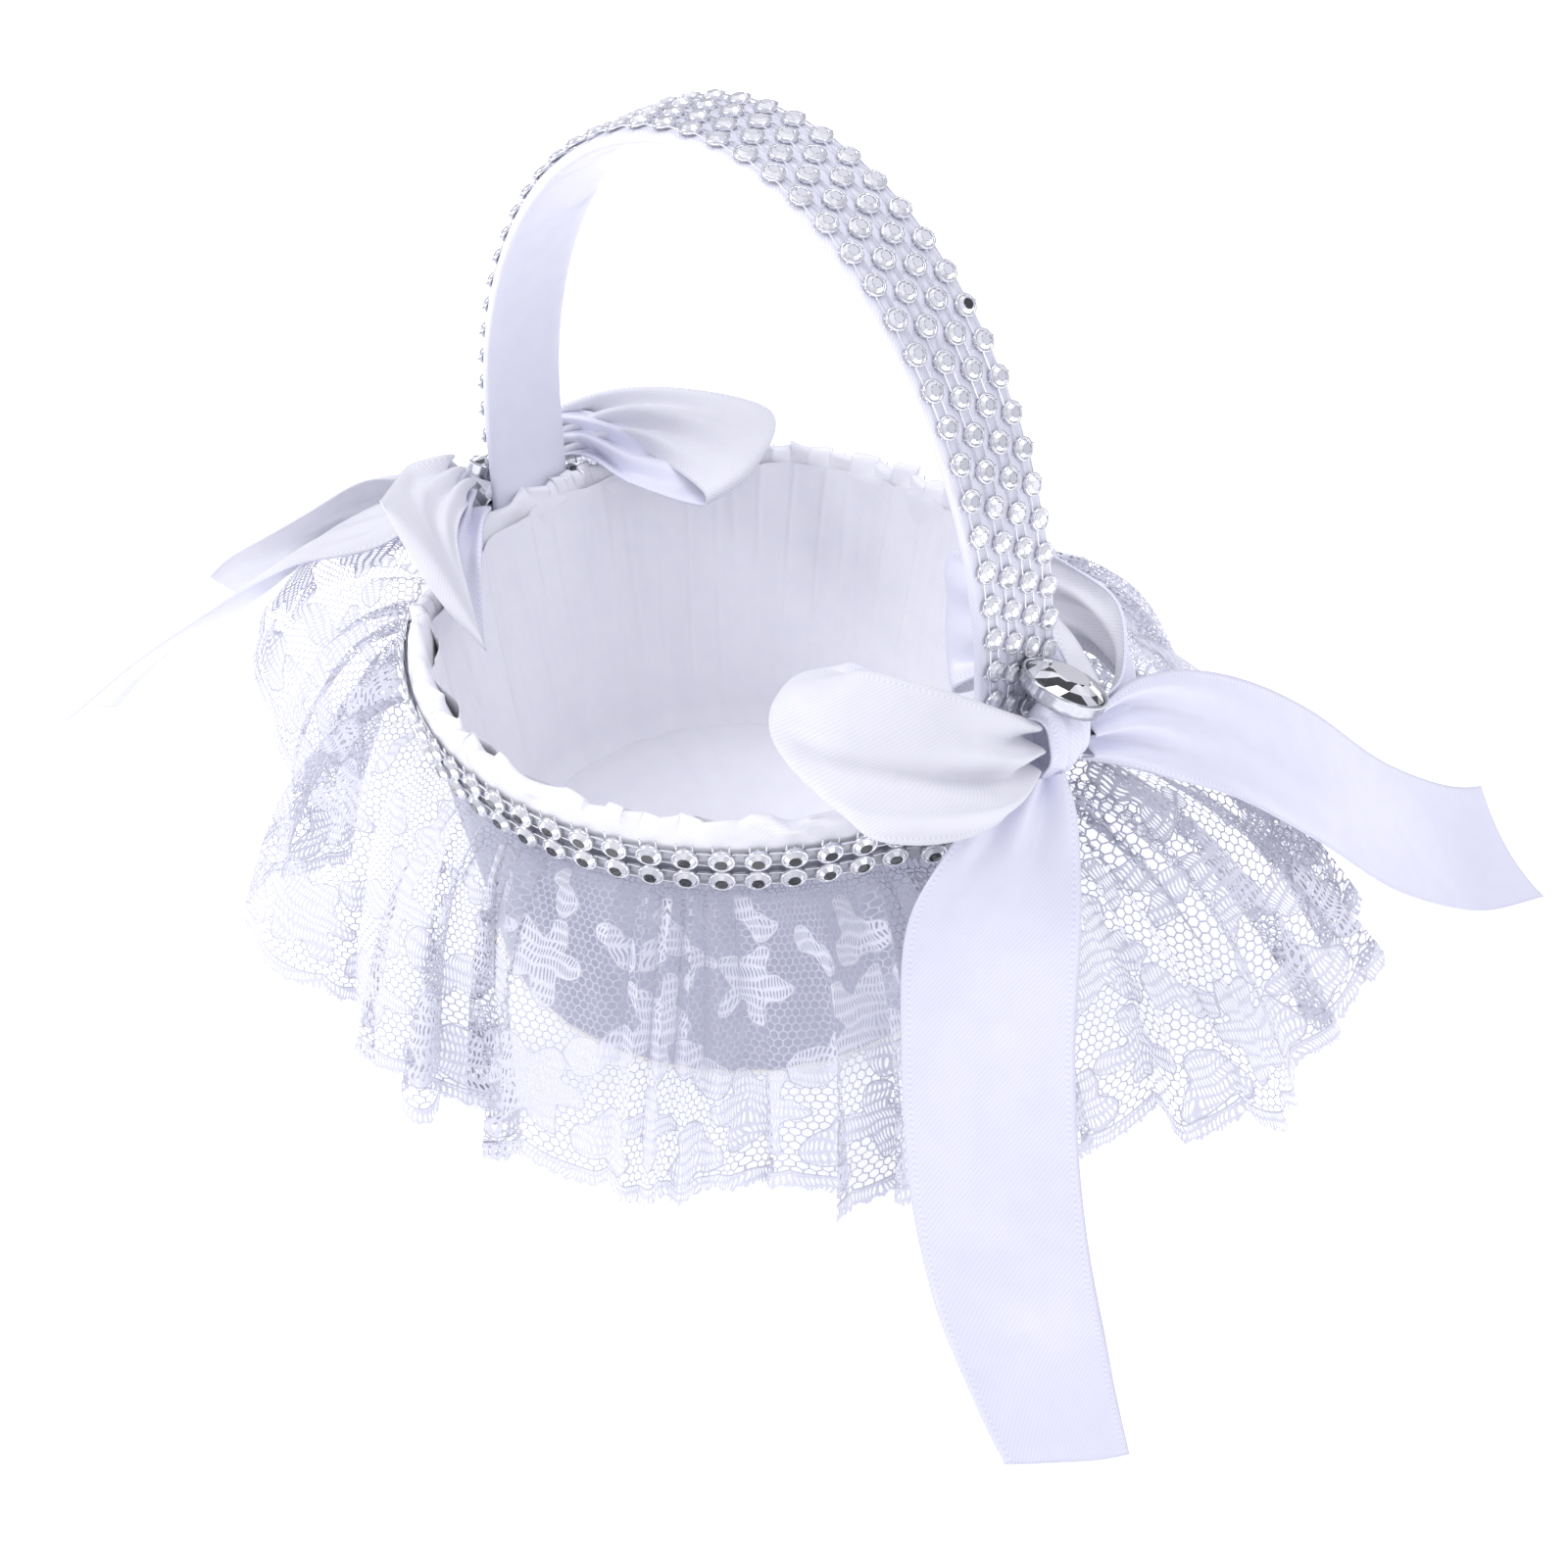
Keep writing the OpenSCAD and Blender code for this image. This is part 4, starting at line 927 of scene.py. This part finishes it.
def crystal(name, centre):
    sides, radius = 16, crystal_d / 2
    # share of the radius, height, and turn in facets
    rings = [(0.98, 0.9, 0.0), (1.0, 2.0, 0.0), (1.0, 2.5, 0.0), (0.8, 3.3, 0.5), (0.56, 3.95, 0.0),
             (0.5, 4.1, 0.5)]
    corners, faces = [], []
    for scale, z, half_step in rings:
        for k in range(sides):
            a = (k + half_step) * 2 * math.pi / sides
            corners.append((radius * scale * math.cos(a), radius * scale * math.sin(a), z))
    for ring_no in range(len(rings) - 1):
        turned_now = rings[ring_no][2] != rings[ring_no + 1][2]
        back_step = rings[ring_no][2] > rings[ring_no + 1][2]
        for k in range(sides):
            low, low_next = ring_no * sides + k, ring_no * sides + (k + 1) % sides
            top, top_next = low + sides, low_next + sides
            if not turned_now:
                faces.append((low, low_next, top_next, top))
            elif back_step:
                faces += [(low, low_next, top_next), (low, top_next, top)]
            else:
                faces += [(low, low_next, top), (low_next, top_next, top)]
    faces.append(tuple(range(sides))[::-1])
    faces.append(tuple(len(corners) - sides + k for k in range(sides)))
    mesh = bpy.data.meshes.new(name)
    mesh.from_pydata([tuple(p / 1000) for p in turned(centre, np.array(corners))], [], faces)
    # random facets are marked as heart, and most of them are painted dark as a reflection; each facet's random
    # pick sets its painted glint grey
    draw = np.random.default_rng(71)
    painted_glint_picks = draw.uniform(0, 1, len(faces)).astype(np.float32)
    dark_reflection_marks = (draw.uniform(0, 1, len(faces)) < 0.45).astype(np.float32)
    for label, values in (("painted_glint_pick", painted_glint_picks), ("heart", dark_reflection_marks)):
        mesh.attributes.new(label, "FLOAT", "FACE").data.foreach_set("value", values)
    mesh.update()
    return new_object(name, mesh)


def cup(name, centre):
    """A turned cup with a rolled, milled lip"""
    profile = np.array([(0.2, 0.0), (5.6, 0.0), (6.3, 0.25), (6.6, 1.0), (6.62, 2.2), (6.75, 2.45),
                        (6.6, 2.75), (6.3, 2.7), (6.1, 2.4), (6.1, 0.85), (0.2, 0.8)])
    q = np.linspace(0, 2 * math.pi, 120, endpoint=False)[:, None]
    mill = 1 + 0.006 * np.sin(60 * q) * (profile[:, 1] > 0.9)[None, :]
    points = polar(profile[:, 0][None, :] * mill, q, profile[:, 1][None, :])
    return surface_mesh(name, turned(centre, points), round_closed=True)


plated = plain("nickel-plated cup", "#B9BAC0", 0.16, metal=1.0, second="#D8D9DE")
# eight in ten marked facets are painted dark: a painted reflection
cut_crystal = acrylic_stone("faceted crystal, foil-backed", 0.8)
for side, centre in (("right", right_knot), ("left", left_knot)):
    cover_with(crystal(side + "_crystal", centre), cut_crystal, "stone", side + "_brooch_crystal")
    cover_with(cup(side + "_cup", centre), plated, "silver_mesh", side + "_brooch_cup")

# ---------------------------------------------------------------------------
# Studio: a white floor, large soft lights, and the camera
# ---------------------------------------------------------------------------
floor_mesh = bpy.data.meshes.new("studio_floor")
floor_mesh.from_pydata([(-3, -3, 0), (3, -3, 0), (3, 3, 0), (-3, 3, 0)], [], [(0, 1, 2, 3)])
studio_floor = new_object("studio_floor", floor_mesh)
backdrop, tree = empty_material("white matt light table")
place = add(tree, "ShaderNodeTexCoord", out="Object")
grain = add(tree, "ShaderNodeTexNoise", {"Vector": place, "Scale": 300.0})
paper = add(tree, "ShaderNodeMix", {"Factor": grain, 6: linear("#FDFDFF"), 7: linear("#FFFFFF")},
            out=2, data_type="RGBA")
# the table gives off a little light, so that it stays pure white
table = add(tree, "ShaderNodeBsdfPrincipled",
            {"Base Color": paper, "Roughness": 0.9, "Emission Color": linear("#FFFFFF"),
             "Emission Strength": 0.42})
add(tree, "ShaderNodeOutputMaterial", {"Surface": table})
floor_mesh.materials.append(backdrop)

world = bpy.data.worlds.new("studio")
bpy.context.scene.world = world
world.use_nodes = True
world.node_tree.nodes.clear()
sky_tree = world.node_tree
up = add(sky_tree, "ShaderNodeSeparateXYZ", [add(sky_tree, "ShaderNodeTexCoord", out="Generated")], out=2)
above = add(sky_tree, "ShaderNodeMapRange", {"Value": up, 1: 0.05, 2: 0.6, 3: 0.3, 4: 1.0},
            interpolation_type="SMOOTHSTEP")
tone = add(sky_tree, "ShaderNodeMix", {"Factor": above, 6: linear("#9FA0AE"), 7: linear("#F4F4FF")},
           out=2, data_type="RGBA")
backlight = add(sky_tree, "ShaderNodeBackground", {"Color": tone, "Strength": 0.83})
add(sky_tree, "ShaderNodeOutputWorld", {"Surface": backlight})


def soft_light(name, place, target, size, power, colour="#FFFFFF"):
    light = bpy.data.lights.new(name, "AREA")
    light.shape, light.size, light.energy = "DISK", size, power
    light.color = linear(colour)[:3]
    aim(new_object(name, light), place, target)


def aim(thing, place, target):
    thing.location = place
    thing.rotation_euler = (Vector(target) - Vector(place)).to_track_quat("-Z", "Y").to_euler()


soft_light("key", (-0.5, -0.75, 0.85), (0, 0, 0.05), 0.45, 4.3)
soft_light("top", (0.1, 0.3, 1.1), (0, 0, 0.05), 0.6, 2.3)
soft_light("side", (0.9, -0.1, 0.5), (0, 0, 0.06), 0.4, 0.8)

camera = bpy.data.cameras.new("camera")
camera.lens, camera.sensor_width, camera.clip_start = 50.247, 36.0, 0.01
camera_object = new_object("camera", camera)
aim(camera_object, (0.201213, -0.198989, 0.266434), (-0.0226865, 0.0343281, -0.00935))
bpy.context.scene.camera = camera_object
bpy.context.scene.view_settings.view_transform = "Standard"
